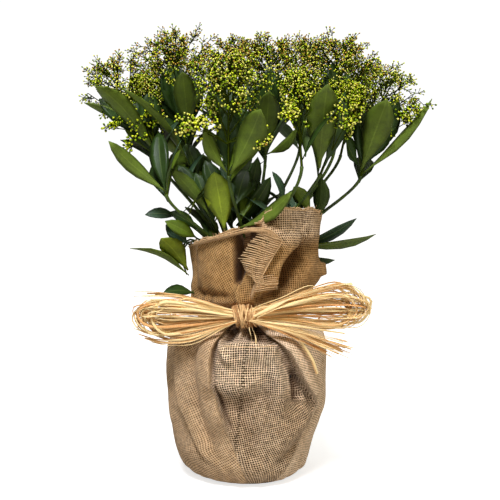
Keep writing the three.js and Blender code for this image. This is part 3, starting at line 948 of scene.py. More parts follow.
@dataclass(frozen=True)
class Fold:
    """One fold of the cloth, along a path of azimuth and height."""

    kind: FoldKind
    path: Path
    width: float
    depth: float
    edge: float = 1.6
    slide: float = 0.0

    def move(self, across: Array, height: Array, scale: float) -> Array:
        """How far the fold moves the cloth outwards, round to the right, and up.

        Args:
            across: each place's distance round the wrap from its front, to the right.
            height: each place's height.
            scale: the radius that the wrap is unrolled at.
        Returns:
            The three distances at each place.
        """
        line = through([((a + 90) * scale * math.pi / 180, z) for a, z in self.path], 4 * len(self.path))
        best = np.full(across.shape, np.inf)
        signed, along = np.zeros((2, *across.shape))
        rise = np.zeros((2, *across.shape))
        for i, (p, q) in enumerate(zip(line, line[1:])):
            d = q - p
            t = np.clip(((across - p[0]) * d[0] + (height - p[1]) * d[1]) / (d @ d), 0, 1)
            x, z = across - p[0] - d[0] * t, height - p[1] - d[1] * t
            far = np.hypot(x, z)
            near = far < best
            best = np.where(near, far, best)
            left_of = d[0] * (height - p[1]) - d[1] * (across - p[0])
            signed = np.where(near, far * np.sign(left_of), signed)
            along = np.where(near, (i + t) / (len(line) - 1), along)
            rise = np.where(near, (np.array([-d[1], d[0]]) / math.sqrt(d @ d))[:, None, None], rise)
        fade = ease(0, 0.15, along) * ease(1, 0.8, along)
        if self.kind is FoldKind.TROUGH:
            out = -self.depth * np.exp(-((best / (self.width * (1 - 0.75 * along))) ** 4))
            return np.stack([out, 0 * out, 0 * out])
        if self.kind in (FoldKind.RIDGE, FoldKind.VALLEY):
            way = 1 if self.kind is FoldKind.RIDGE else -1
            out = way * self.depth * hump(best, 0, self.width) * (0.35 + 0.65 * fade)
            return np.stack([out, 0 * out, 0 * out])
        if self.kind is FoldKind.LIP_WEST:
            signed, rise = -signed, -rise
        raised, past = ease(-self.edge, self.edge, signed), np.maximum(signed, 0)
        over = raised * hump(past, 0, self.width)
        groove = hump(signed, -self.edge * 1.9, self.edge * 1.7)
        side = self.slide * fade * (0.5 * groove - raised * hump(past, 0, 9))
        return np.stack([self.depth * fade * (over - 0.6 * groove), side * rise[0], side * rise[1]])


@dataclass
class HessianWrap:
    """The rectangle of hessian gathered round the pot and tied at the neck, with its ruff and frayed edges.

    Its outline is by reach and height. Its other lines are by azimuth and height, and the edges of its
    front panel by height and azimuth.
    """

    outline: Path = (
        (6, 0.6), (30, 0.6), (52, 0.8), (62, 2.4), (70.5, 8), (77.5, 18), (82, 34), (84.5, 54), (86, 80),
        (86.8, 108), (87, 132), (86, 146), (81, 157), (67, 167), (53, 174.5), (46.5, 180), (46, 184),
    )
    sideways: float = -3.0
    columns: int = 448
    bag_steps: int = 172
    ruff_rows: int = 66
    neck: float = 184.0
    # painted shade in the folds: how deep the cloth must sink before it is darkened, and over how much more
    # depth it reaches full darkness
    painted_shade_from: float = 0.8
    painted_shade_span: float = 10.0
    edge_reach: float = 91.0
    panel_middle: float = -88.0
    panel_sides: tuple[float, float] = (-113.0, -65.0)
    panel_top: tuple[float, float] = (133.0, 157.2)
    panel_west: Path = (
        (5, -92), (30, -96), (54, -102), (70, -106), (86, -110), (98, -112), (110, -114), (122, -115),
        (150, -115), (164, -114), (180, -104), (204, -100),
    )
    panel_east: Path = (
        (5, -66), (30, -50), (67, -36), (75, -35), (86, -33), (98, -38), (110, -45), (124, -51), (149, -60),
        (159, -66), (178, -84),
    )
    rim: Path = (
        (-270, 240), (-225, 245), (-190, 250), (-167, 256), (-141, 264), (-124, 269), (-110, 274),
        (-93, 279), (-84, 280), (-78, 286), (-70, 295), (-62, 299), (-42, 297), (-20, 294), (-3, 291),
        (6, 276), (14, 256), (30, 244), (60, 236), (90, 240),
    )
    flap_outer: Path = (
        (-88.6, 202.5), (-86.5, 210.3), (-83.2, 219.9), (-79.1, 229.4), (-75, 238.8), (-70, 249.1),
        (-64.9, 258.4), (-63.3, 264), (-67.2, 268.1), (-72.9, 274.3), (-78.5, 276.2), (-85.2, 276.7),
        (-91.9, 276.3), (-98.6, 274.5), (-112, 270), (-130, 264), (-150, 258),
    )
    flap_inner: Path = (
        (-89.6, 205.6), (-88.6, 211.7), (-86.2, 220.4), (-85, 228.3), (-84, 235.2), (-81, 244.8),
        (-77.4, 252.5), (-74.5, 259.4), (-74.3, 264.6), (-76.5, 269), (-80.8, 271.7), (-86.4, 273.1),
        (-92, 272.6), (-99, 270.8), (-112, 266.5), (-130, 261), (-150, 255.5),
    )
    fringe_roots: Path = (
        (-70.9, 267.2), (-74.6, 257.7), (-78.1, 250.9), (-82.3, 245.8), (-85.1, 238.9), (-86.4, 231.9),
        (-85.8, 226.7), (-85.1, 221.4),
    )
    fringe_tips: Path = (
        (-83.3, 272.4), (-88.4, 265.9), (-91.7, 260.2), (-93.9, 254.1), (-97.2, 246.7), (-97.1, 240.1),
        (-93.6, 233.2), (-88.4, 225.3),
    )
    tuft_roots: Path = ((-79.5, 227.4), (-80.9, 223.1), (-83, 217.9), (-85.1, 211.8))
    tuft_tips: Path = ((-67.9, 227), (-66.7, 222.6), (-65.8, 218.1), (-65.8, 213.3))
    bag_folds: tuple[Fold, ...] = (
        Fold(
            FoldKind.LIP_WEST,
            (
                (-106, 180), (-111, 172), (-114, 164), (-115.5, 150), (-116, 135), (-115, 122),
                (-113.5, 110), (-111.5, 98), (-109, 86), (-105, 72), (-100, 56)
            ),
            15, 10, 1.5, 3.5
        ),
        Fold(
            FoldKind.RIDGE,
            ((-100, 182), (-106, 172), (-110, 164), (-109, 154), (-105, 145), (-99, 136)),
            4.0, 7
        ),
        Fold(
            FoldKind.LIP_EAST,
            (
                (-84, 178), (-75, 168), (-66, 159), (-60, 149), (-56, 138), (-51, 124), (-45, 110),
                (-39, 98), (-35, 86), (-34, 74)
            ),
            18, 9, 1.8, 3
        ),
        Fold(FoldKind.LIP_WEST, ((-112, 156), (-98, 158.5), (-86, 158.5), (-64, 154)), 16, 7, 1.4, 2.5),
        Fold(FoldKind.LIP_EAST, ((-120, 114), (-106, 107), (-97, 106), (-88, 111), (-78, 121)), 24, 5.5, 6.0),
        Fold(FoldKind.TROUGH, ((-107, 166), (-108, 171), (-110, 178)), 7.5, 15),
        Fold(FoldKind.TROUGH, ((-83, 168), (-85, 172), (-89, 178)), 11.0, 15),
        Fold(FoldKind.RIDGE, ((-98, 184), (-97, 162)), 3.0, 9),
        Fold(FoldKind.VALLEY, ((-54, 122), (-52, 108), (-50.5, 92)), 6.5, 11),
        Fold(FoldKind.VALLEY, ((-65, 144), (-60, 132), (-54, 116)), 4.0, 5),
        Fold(FoldKind.VALLEY, ((-106, 167), (-96, 167), (-84, 167), (-72, 164)), 4.5, 9),
        Fold(FoldKind.VALLEY, ((-96, 100), (-92, 76), (-84, 46)), 16, 4),
        Fold(FoldKind.VALLEY, ((-77, 130), (-75, 115), (-74, 98), (-71, 82)), 5.5, 3.5),
        Fold(FoldKind.RIDGE, ((-71, 136), (-70, 123), (-67, 110), (-65, 97), (-65, 84)), 5.5, 5.5),
        Fold(
            FoldKind.LIP_EAST,
            (
                (-145, 168), (-148, 156), (-150, 142), (-150, 115), (-148, 99), (-142, 81), (-136, 65),
                (-130, 49), (-123, 33), (-116, 20)
            ),
            15, 4.4, 1.5, 1.8
        ),
        Fold(
            FoldKind.VALLEY,
            ((-128, 164), (-131, 147), (-131, 123), (-128, 97), (-123, 71), (-117, 48), (-110, 30)),
            6.5, 4.0
        ),
        Fold(FoldKind.VALLEY, ((-28, 66), (-41, 53), (-57, 35), (-70, 20)), 6, 3.5),
        Fold(FoldKind.RIDGE, ((-36, 76), (-50, 62), (-66, 46)), 9, 2.5),
        Fold(FoldKind.VALLEY, ((-18, 166), (-20, 142), (-20, 111), (-24, 77), (-36, 46)), 7, 3),
        Fold(FoldKind.RIDGE, ((-32, 160), (-30, 130), (-28, 104)), 9, 3),
        Fold(FoldKind.RIDGE, ((-6, 160), (-4, 116), (-10, 60)), 10, 1.5),
        Fold(FoldKind.VALLEY, ((-270, 180), (-270, 100), (-270, 12)), 4, 5),
        Fold(FoldKind.VALLEY, ((90, 180), (90, 100), (90, 12)), 4, 5),
        Fold(FoldKind.LIP_EAST, ((24, 170), (20, 130), (24, 90), (34, 44)), 22, 8, 1.6, 3),
        Fold(FoldKind.VALLEY, ((60, 168), (56, 120), (62, 50)), 6, 4.6),
        Fold(FoldKind.LIP_WEST, ((-262, 172), (-256, 130), (-258, 84), (-250, 40)), 24, 8, 1.6, 3),
        Fold(FoldKind.VALLEY, ((-228, 168), (-224, 116), (-230, 48)), 6, 4.8),
        Fold(FoldKind.VALLEY, ((-196, 168), (-192, 120), (-186, 66), (-176, 20)), 6, 4.6),
        Fold(FoldKind.RIDGE, ((-172, 162), (-168, 110), (-160, 50)), 9, 3.4),
    )
    ruff_folds: tuple[Fold, ...] = (
        Fold(
            FoldKind.TROUGH,
            ((-93, 271), (-94, 262), (-96, 250), (-98, 240), (-100, 231), (-102, 221)),
            14, 27
        ),
        Fold(
            FoldKind.LIP_WEST,
            ((-34, 257), (-42, 256), (-49, 252), (-56, 243), (-61, 233), (-63, 220), (-66, 206)),
            11, 6, 1.8, 2
        ),
        Fold(FoldKind.VALLEY, ((-24, 252), (-34, 247), (-44, 237), (-50, 224), (-56, 208)), 12, 15),
        Fold(FoldKind.RIDGE, ((-56, 266), (-34, 264), (-10, 266)), 6, 3),
        Fold(FoldKind.VALLEY, ((-86, 196), (-75, 203), (-60, 209)), 5, 6),
        Fold(FoldKind.VALLEY, ((-160, 205), (-134, 203), (-108, 203)), 5, 5),
        Fold(FoldKind.VALLEY, ((-77, 291), (-72, 289), (-66, 281)), 7, 10),
        Fold(FoldKind.VALLEY, ((-164, 270), (-160, 236), (-154, 204)), 8, 3),
        Fold(FoldKind.RIDGE, ((7, 234), (5, 226), (4, 217)), 8, 10),
        Fold(FoldKind.VALLEY, ((24, 256), (21, 226), (18, 200)), 9, 12),
        Fold(FoldKind.RIDGE, ((44, 250), (42, 220)), 13, 5),
        Fold(FoldKind.VALLEY, ((68, 250), (66, 222), (64, 200)), 9, 13),
        Fold(FoldKind.VALLEY, ((-244, 256), (-246, 226), (-248, 200)), 9, 12),
        Fold(FoldKind.RIDGE, ((-222, 252), (-224, 222)), 12, 5),
        Fold(FoldKind.VALLEY, ((-198, 262), (-200, 230), (-204, 204)), 9, 13),
    )

    def azimuths(self) -> Array:
        """The azimuth of each column, from the back round by the left and the front to the back again."""
        return np.linspace(-270, 90, self.columns + 1)

    def shape(self) -> tuple[Array, Array, int]:
        """Works out the cloth without its folds.

        Returns:
            The radius and the height of each point, and how many rows lie below the tie.
        """
        azimuth = self.azimuths()
        bag = through(self.outline, self.bag_steps)
        bag = bag[(bag[:, 0] > 60) | (bag[:, 1] > 3) | (np.arange(len(bag)) % 7 == 0)]
        rise = np.linspace(0, 1, self.ruff_rows + 1)[1:, None]
        rim = smoothed(np.interp(azimuth, *np.array(self.rim).T), 3)
        rim = rim + 1.6 * Ripple(11, 24).at(stack(azimuth, 0))
        radius = 46 + 18 * ease(-0.06, 0.2, rise) + 12 * hump(azimuth, -2, 26) * ease(0.05, 0.4, rise)
        radius = radius + 3 * hump(azimuth, -60, 24) * ease(0.5, 1, rise)
        radius = radius + 4 * ease(0.45, 1.0, rise) * (hump(azimuth, 60, 70) + hump(azimuth, -240, 50))
        radius = np.vstack([bag[:, :1] + 0 * azimuth, radius])
        height = np.vstack([bag[:, 1:] + 0 * azimuth, self.neck + (rim - self.neck) * rise])
        return radius, height, len(bag)

    def unrolled(self, radius: Array, height: Array, bag_rows: int) -> tuple[Array, Array]:
        """Lays the cloth without its folds flat.

        Args:
            radius: the radius of each point.
            height: its height.
            bag_rows: how many rows lie below the tie.
        Returns:
            How far each point lies across the flat cloth from the front, and up it.
        """
        around = np.clip(radius.mean(axis=1), 66, 87)
        around[: bag_rows // 4] = 70
        across = np.radians(self.azimuths() + 90) * smoothed(around, 6)[:, None]
        steps = np.hypot(np.diff(radius, axis=0), np.diff(height, axis=0))
        run = np.concatenate([np.zeros((1, radius.shape[1])), np.cumsum(steps, axis=0)])
        return across, run.mean(axis=1, keepdims=True) * 0.1 + run * 0.9

    def folded(self, height: Array, low: Array) -> tuple[Array, Array, Array]:
        """Works out the folds.

        Args:
            height: the height of each point.
            low: whether each row lies below the tie.
        Returns:
            How far the folds move each point out, round in degrees, and up.
        """
        angle = np.radians(self.azimuths() + 90)
        lift, slide, climb = np.zeros((3, *height.shape))
        above = ~low * ease(self.neck, self.neck + 22, height)
        for folds, scale, share in ((self.bag_folds, 88, 1.0 * low), (self.ruff_folds, 66, above)):
            for fold in folds:
                out, aside, up = fold.move(angle * scale + 0 * height, height, scale) * share
                lift, slide, climb = lift + out, slide + np.degrees(aside / scale), climb + up
        return lift, slide, climb

    def gathered(self, lift: Array, radius: Array, height: Array) -> Array:
        """Adds the small pleats at the tie and under the pot, and the cloth's soft unevenness.

        Args:
            lift: how far the folds move each point out.
            radius: the radius of each point without folds.
            height: its height.
        Returns:
            How far each point is moved out in all.
        """
        azimuth = self.azimuths()
        circle = stack(cosine(azimuth) * 60, sine(azimuth) * 60, height)
        pleat = np.zeros_like(radius)
        for count, depth, shift in ((17, 1.0, 0.4), (26, 1.1, 2.0), (37, 0.7, 4.4)):
            pleat += depth * np.sin(np.radians(azimuth) * count + shift + 1.2 * Ripple(count, 60).at(circle))
        near_tie = hump(height, self.neck + 2, 17) * 1.4 + 0.45 * hump(height, self.neck - 22, 18)
        lift = lift + pleat * near_tie
        lift = lift + pleat * 1.1 * hump(height, 4, 14) * ease(58, 72, radius)
        uneven = 1.3 * Ripple(21, 52).at(circle) + 0.3 * Ripple(22, 20).at(circle)
        uneven = uneven + 0.1 * Ripple(23, 8).at(circle)
        return lift + uneven * ease(3, 30, height) * (0.7 + 0.5 * ease(self.neck, 215, height))

    def let_out(self, across: Array, x: Array, y: Array, anchor: Array) -> Array:
        """Gives the weave the extra cloth that each fold takes up.

        Args:
            across: how far each point lies across the flat cloth.
            x: how far right each folded point is.
            y: how far back it is.
            anchor: the azimuth that keeps its place on the flat cloth.
        Returns:
            How far each point lies across, with the extra cloth.
        """
        steps = np.hypot(np.diff(x, axis=1), np.diff(y, axis=1))
        spare = np.maximum(steps - 1.03 * np.median(steps, axis=1, keepdims=True), 0)
        spare = np.concatenate([np.zeros((len(x), 1)), np.cumsum(spare, axis=1)], axis=1)
        spare = sum(np.roll(spare, k, axis=0) for k in range(-5, 6)) / 11
        return across + spare - np.take_along_axis(spare, (anchor + 270) * self.columns // 360, axis=1)

    def surface(self) -> tuple[Array, Array, dict[str, Array]]:
        """Works out the cloth as one sheet, from the middle of its foot to its rim.

        Returns:
            Each point's place, its place on the flat cloth, and how loose, warm, gapped and sunken it is; the
            warm tint and the sinking also carry painted shade.
        """
        azimuth = self.azimuths()
        radius, height, bag_rows = self.shape()
        low = (np.arange(len(radius)) < bag_rows)[:, None]
        across, run = self.unrolled(radius, height, bag_rows)
        lift, slide, climb = self.folded(height, low)
        # painted shade: how far each point sinks into its folds, which the material turns into darker colour in
        # the creases
        deep = np.clip((-lift - self.painted_shade_from) / self.painted_shade_span, 0, 1)
        lift = self.gathered(lift, radius, height)
        moved = lift * (1 - 0.75 * hump(height, self.neck, 5)) * ease(45, 62, radius + 18 * ~low)
        radius = np.where(radius > 20, radius + moved, radius)
        radius = radius * (1 - 0.15 * hump(azimuth, -15, 44) * ease(88, 20, height))
        share = ease(2, 40, height) * ease(self.neck, 150, height)
        x = radius * cosine(azimuth + slide) + self.sideways * share
        y = radius * sine(azimuth + slide)
        west, east = (np.interp(height, *np.array(edge).T) for edge in (self.panel_west, self.panel_east))
        across = self.let_out(across, x, y, np.select([azimuth < west, azimuth > east], [-132, -18], -88))
        panel = ease(-1.5, 1.5, azimuth - west) * ease(1.5, -1.5, azimuth - east) * low
        ladder = hump(across, -1 - 0.11 * (150 - height), 1.7) * ease(16, 30, height) * ease(162, 154, height)
        crest = hump(azimuth, -40, 34) * ease(240, 270, height)
        # the warm tint on the bag: a darker tone on its sides, and painted shade on the front panel below its
        # pouch
        warm_and_shaded_bag = 0.6 * (azimuth < west) + 0.34 * panel * ease(118, 92, height) + 0.1 * (azimuth > east)
        pale_rim = 1 - 0.75 * hump(azimuth, -40, 45) * ease(252, 276, height)
        marks = {
            "loose": np.where(low, 0.08 + 0.84 * panel, 0.1 + 0.75 * crest),
            "warmth_and_shade": low * warm_and_shaded_bag + ease(self.neck - 6, self.neck + 18, height) * pale_rim,
            "gap": 0.62 * ladder * panel,
            "deep": deep,
        }
        right_side, panel_foot = (azimuth > east) & (azimuth < 40), height < 112 - 0.3 * across
        grain = np.select([azimuth < west, low & right_side, low & panel_foot], [-31, 24, -13], 0)
        weft = across * cosine(grain) - run * sine(grain)
        flat = stack(weft, across * sine(grain) + run * cosine(grain))
        return stack(x, y, height + climb), flat * MM, marks

    def build(self) -> list[bpy.types.Object]:
        """Builds the cloth, its flap, its fringes and its frayed rim.

        Returns:
            The cloth and the frayed threads.
        """
        places, cloth, marks = self.surface()
        rows, wide = places.shape[:2]
        draft = Draft()
        faces = grid_faces(rows, wide - 1, True)
        flat = grid_faces(rows, wide, False)
        own = {name: values[:, :-1].ravel() for name, values in marks.items()}
        draft.add(places[:, :-1].reshape(-1, 3), faces, cloth.reshape(-1, 2)[flat.ravel()], **own)
        foot = np.array([[0, 0, self.outline[0][1]]])
        draft.add(foot, np.zeros((0, 3), int), **{name: np.zeros(1) for name in marks})
        c = np.arange(wide - 1)
        draft.more(np.stack([(c + 1) % (wide - 1), c, np.full(wide - 1, draft.count - 1)], axis=1))
        frays = Strands()
        self.panel_edge(draft, frays, places, cloth, marks)
        self.flap(draft, frays)
        self.fray_rim(places[-1], frays)
        piece = draft.piece("hessian_wrap", HessianFinish().material())
        jute = ThreadFinish("jute_thread", (234, 196, 146), (126, 88, 50), 0.9, 0.05)
        threads = grow_strands("hessian_fringe", frays, Section.THREAD, jute.material())
        settle(piece, ["wrap_bag", "wrap_ruff_left", "wrap_ruff_right", "wrap_ruff_back"])
        settle(threads)
        return [piece, threads]

    def panel_edge(
        self, draft: Draft, frays: Strands, places: Array, cloth: Array, marks: dict[str, Array]
    ) -> None:
        """Adds the straight top of the front panel, which stands off the gathered cloth behind it.

        Args:
            draft: the cloth.
            frays: the loose threads.
            places: the place of each point of the cloth.
            cloth: each point's place on the flat cloth.
            marks: the numbers of each point.
        """
        azimuth = self.azimuths()
        middle = places[:, int(np.argmin(np.abs(azimuth - self.panel_middle))), 2]
        (left, right), (below, above) = self.panel_sides, self.panel_top
        part = np.ix_((middle > below) & (middle < above), (azimuth > left) & (azimuth < right))
        points, woven = places[part], cloth[part]
        rows, wide = woven.shape[:2]
        t, s = np.linspace(0, 1, rows)[:, None], np.linspace(0, 1, wide)[None, :]
        inside = ease(0, 0.12, s) * ease(1, 0.78, s)
        way = unit(points * [1, 1, 0])
        far = np.hypot(points[..., 0], points[..., 1])
        stand = (self.edge_reach - far) * inside * ease(0.15, 0.8, t) - 1.2 * (1 - inside * ease(0, 0.1, t))
        points = points + way * stand[..., None]
        turned_in = ((-1.0, 0.5, 0.5), (-2.4, 0.0, 1.2), (-3.2, -4.0, 3.0))
        hem = [points[-1:] + way[-1:] * back + UP * up for back, up, _ in turned_in]
        more = [woven[-1:] + (woven[-1:] - woven[-2:-1]) * step for _, _, step in turned_in]
        points, woven = np.concatenate([points, *hem]), np.concatenate([woven, *more])
        faces = grid_faces(len(points), wide, False)
        own = {}
        for name, values in marks.items():
            # the painted fold shade is cut to a fifth on the standing top of the panel
            kept = values[part] * (0.2 if name == "deep" else 1.0)
            own[name] = np.concatenate([kept, *[kept[-1:]] * len(hem)]).ravel()
        draft.add(points.reshape(-1, 3), faces, woven.reshape(-1, 2)[faces.ravel()], **own)
        frays.add(points[rows, 8:-8], 0.5, tone=0.9)

    def flap(self, draft: Draft, frays: Strands) -> None:
        """Adds the edge of the cloth that folds back over the front of the ruff, with its pulled threads.

        Args:
            draft: the cloth.
            frays: the loose threads.
        """
        rng = np.random.default_rng(31)
        rows, wide = 90, 9
        outer, inner = (through(line, rows)[:, None] for line in (self.flap_outer, self.flap_inner))
        s = np.linspace(0, 1, wide)[None, :]
        t = np.linspace(0, 1, rows)[:, None]
        azimuth, height = np.moveaxis(outer + (inner - outer) * s[..., None], -1, 0)
        radius = 69 + 5 * ease(0.0, 0.16, t) - 4.5 * ease(0.5, 0.62, t) + 1.6 * np.sin(math.pi * s) - 2.4 * s
        turned_in = ((2.2, 18.0, 0.018), (2.0, 9.0, 0.009), (1.6, 4.0, 0.004), (0.9, 1.2, 0.001))
        hem = len(turned_in)
        azimuth = np.hstack([*(azimuth[:, :1] + turn for turn, _, _ in turned_in), azimuth])
        height = np.hstack([height[:, :1]] * hem + [height])
        radius = np.hstack([*(radius[:, :1] - back for _, back, _ in turned_in), radius])
        wide += hem
        radius = radius + 0.4 * Ripple(33, 14).at(stack(azimuth, height))
        points = stack(radius * cosine(azimuth), radius * sine(azimuth), height)
        cloth = stack((azimuth + 200) * 2.1, height * 1.8) * MM
        cloth[:, :hem] = cloth[:, hem : hem + 1] + np.array([[step, 0] for _, _, step in turned_in])
        faces = grid_faces(rows, wide, False)[:, ::-1]
        blank = np.zeros(rows * wide)
        # the flap carries no painted fold shade
        own = {"loose": blank, "warmth_and_shade": blank + 0.8, "gap": blank, "deep": blank}
        draft.add(points.reshape(-1, 3), faces, cloth.reshape(-1, 2)[faces.ravel()], **own)
        frays.add(points[8:, hem] * 1.004, 0.5, tone=1.0)
        fringe = (self.fringe_roots, self.fringe_tips, 24, 6.5)
        tuft = (self.tuft_roots, self.tuft_tips, 8, -2.0)
        for roots, tips, count, lean in (fringe, tuft):
            for (a, low), (b, high) in zip(through(roots, count), through(tips, count)):
                b, high = b + rng.uniform(-1.4, 1.4), high + rng.uniform(-0.7, 0.7)
                start = polar(a + lean, 75.2, low - (high - low) * lean / 14)
                knee, end = polar(a, 75.4, low), polar(b, rng.uniform(69, 72), high)
                pulled = through([start, knee, knee * 0.4 + end * 0.6 + [0, -0.8, 0.6], end], 7)
                frays.add(pulled, rng.uniform(0.42, 0.72), tone=rng.uniform(0.5, 1))
                if rng.uniform() < 0.45:
                    stray = end + [rng.uniform(-3, 3), rng.uniform(-1, 3), rng.uniform(-3, 2)]
                    wisp = through([knee, (knee + stray) / 2 + [0, -1.2, 0.8], stray], 6)
                    frays.add(wisp, 0.3, tone=rng.uniform(0.5, 1))

    def fray_rim(self, rim: Array, frays: Strands) -> None:
        """Adds the worn edge of the ruff: two pale rolled threads and short loose ends.

        Args:
            rim: the points of the cloth's top edge.
            frays: the loose threads.
        """
        rng = np.random.default_rng(37)
        for lift, girth in ((0.2, 0.75), (-1.2, 0.6)):
            wander = 0.5 * Ripple(int(40 + lift), 9).at(rim)
            frays.add(rim + stack(0, 0, wander + lift), girth, tone=0.95)
        for spot in rng.integers(0, len(rim) - 1, 240):
            root = rim[spot] + [0, 0, -0.6]
            out = unit(np.array([root[0], root[1], 0]))
            end = root + UP * rng.uniform(1.0, 3.6) + out * rng.uniform(-1.5, 2.0) + rng.normal(size=3) * 0.9
            loose = np.array([root, (root + end) / 2 + rng.normal(size=3) * 0.4, end])
            frays.add(loose, rng.uniform(0.22, 0.4), tone=rng.uniform(0.4, 1))


# ---------------------------------------------------------------- the raffia


@dataclass
class RaffiaTie:
    """The bow of dried palm straws: a band round the neck, a wrapped knot, two bunches of loops and loose ends.

    The stops of its straws are measured from the knot. A single straw also has its half width and its tone.
    """

    knot: tuple[float, float, float] = (-6.0, -65.0, 184.0)
    left_tip: float = -118.0
    right_tip: float = 134.0
    loops: int = 70
    band_radius: float = 49.5
    out_marks: tuple[float, ...] = (0.0, 0.15, 0.45, 0.78, 0.93)
    left_up: tuple[float, ...] = (3, 6, 13, 20, 17)
    left_low: tuple[float, ...] = (-3, -5, -12, -19, -14)
    right_up: tuple[float, ...] = (4, 11, 23, 35, 28)
    right_low: tuple[float, ...] = (-3, -3, -6, -13, -8)
    right_singles: tuple[tuple[Path, float, float], ...] = (
        (((10, -12, 2), (50, -15, 22), (92, -14, 34), (112, -10, 36)), 3.0, 0.95),
        (((14, -12, 1), (40, -16, 13), (80, -16, 22), (104, -12, 22)), 2.4, 0.9),
        (((20, -14, -4), (44.7, -15, -11), (58.7, -12, -28), (68.7, -8, -44), (76.48, -4, -60)), 1.5, 0.49),
        (((20, -14, -4), (46, -15, -11), (60, -12, -28), (70, -8, -44), (77, -4, -60)), 1.5, 0.75),
        (((20, -14, -4), (47.4, -15, -11), (61.4, -12, -28), (71.4, -8, -44), (77.56, -4, -60)), 1.5, 1.03),
        (((5, -8, -10), (8, -19, -24), (7, -22, -38)), 0.9, 0.9),
        (((8, -8, -10), (12, -18, -20), (11, -21, -33)), 0.7, 0.8),
    )
    left_singles: tuple[tuple[Path, float, float], ...] = (
        (((-50, 6, -20), (-60, 4, -24), (-69, 2, -33)), 0.7, 1.0),
    )

    def straw(
        self, strands: Strands, rng: np.random.Generator, stops: Sequence[Sequence[float]], girth: float,
        count: int = 26, tone: Optional[float] = None,
    ) -> None:
        """Adds one straw.

        Args:
            strands: the straws.
            rng: where its unevenness comes from.
            stops: the points it passes.
            girth: its half width.
            count: how many points it has.
            tone: how pale it is, or none for a seeded tone.
        """
        line = through(np.asarray(stops, float) + self.knot, count)
        share = np.linspace(0, 1, count)
        swing = rng.uniform(-0.9, 0.9) + 1.3 * np.sin(share * rng.uniform(2, 6) + rng.uniform(0, 6))
        ahead = unit(np.gradient(line, axis=0))
        side = unit(np.cross(ahead, [0.05, -1, 0.05]))
        facing = np.cos(swing)[:, None] * np.cross(side, ahead) + np.sin(swing)[:, None] * side
        width = girth * (0.75 + 0.35 * np.sin(share * rng.uniform(3, 9) + rng.uniform(0, 6)))
        strands.add(line, width, facing, rng.uniform(0.1, 1.45) if tone is None else tone)

    def bow(self, side: int, rng: np.random.Generator) -> Strands:
        """Gathers the loops of one side of the bow.

        Args:
            side: -1 for the left, 1 for the right.
            rng: where their unevenness comes from.
        Returns:
            The straws.
        """
        strands = Strands()
        tip, up, low = self.right_tip, self.right_up, self.right_low
        if side < 0:
            tip, up, low = self.left_tip, self.left_up, self.left_low
        middle = [(u + d) / 2 for u, d in zip(up, low)]
        for k in range(self.loops):
            reach = tip * rng.uniform(0.8, 1.0) if k > 3 else tip * rng.uniform(0.6, 0.8)
            if k % 5:
                high, deep = rng.uniform(0.05, 1.0) ** 0.7, rng.uniform(0.05, 1.0) ** 0.8
            else:
                high, deep = rng.uniform(0.02, 0.35, 2)
            front, back = rng.uniform(-11, 5), rng.uniform(-9, 7)
            stops = []
            for share, u, m in zip(self.out_marks, up, middle):
                stops.append((reach * share, -4 + front * share**0.5, m + (u - m) * high + rng.normal() * 1.1))
            stops.append((reach, (front + back) / 2, middle[-1] + rng.uniform(-5, 6)))
            for share, d, m in reversed(list(zip(self.out_marks, low, middle))):
                stops.append((reach * share, -2 + back * share**0.5, m + (d - m) * deep + rng.normal() * 1.1))
            girth = rng.uniform(0.35, 0.8) if k % 3 == 0 else rng.uniform(0.8, 1.8)
            self.straw(strands, rng, stops, girth, 44)
        return strands

    def ends(self, side: int, rng: np.random.Generator) -> Strands:
        """Gathers the loose ends on one side.

        Args:
            side: -1 for the left, 1 for the right.
            rng: where their unevenness comes from.
        Returns:
            The straws.
        """
        strands = Strands()
        for _ in range(36 if side > 0 else 0):
            spread, reach = rng.normal() * 4.5, rng.uniform(0.74, 1.04)
            middle = (64 * reach, -16 + rng.uniform(-3, 4), -16 + spread * 0.7)
            end = (112 * reach, -13 + rng.uniform(-4, 8), -32 + spread * 1.5)
            stops = [(2, -10, -2), (18, -15, -5 + spread * 0.2), middle, end]
            self.straw(strands, rng, stops, rng.uniform(0.5, 1.6))
        for _ in range(18 if side < 0 else 0):
            spread, reach = rng.normal() * 3.0, rng.uniform(0.8, 1.06)
            start, middle = (-22, -12, -8 + spread * 0.3), (-58 * reach, -10, -19 + spread)
            end = (-110 * reach, 0, -16 + spread * 1.4)
            stops = [(-3, -8, -2), start, middle, (-88 * reach, -4, -22 + spread), end]
            self.straw(strands, rng, stops, rng.uniform(0.6, 1.6))
        for _ in range(9 if side < 0 else 0):
            spread, reach = rng.normal() * 2.5, rng.uniform(0.8, 1.04)
            middle, end = (-84 * reach, 8, 19 + spread), (-116 * reach, 11, 18 + spread * 1.5)
            stops = [(-8, 2, 5), (-56 * reach, 8, 15 + spread * 0.4), middle, end]
            self.straw(strands, rng, stops, rng.uniform(0.6, 1.5))
        for stops, girth, tone in self.right_singles if side > 0 else self.left_singles:
            self.straw(strands, rng, stops, girth, tone=tone)
        return strands

    def wraps(self, rng: np.random.Generator) -> Strands:
        """Gathers the turns of straw round the knot.

        Args:
            rng: where their unevenness comes from.
        Returns:
            The straws.
        """
        strands = Strands()
        turn = np.linspace(0, math.tau, 30)
        for k in range(36):
            x = -11 + 0.63 * k + rng.normal() * 0.5
            swell = 1 - 0.34 * (x / 13) ** 2
            lean = rng.uniform(-6.5, 3.5)
            deep, high = (14.6 + rng.uniform(0, 2)) * swell, (11.6 + rng.uniform(0, 1.6)) * swell
            line = stack(x + lean * np.sin(turn), 3 - deep * np.cos(turn), high * np.sin(turn)) + self.knot
            facing = stack(x / 30, -np.cos(turn), np.sin(turn))
            strands.add(line, rng.uniform(0.45, 0.85), facing, rng.uniform(0.1, 1.2))
        return strands

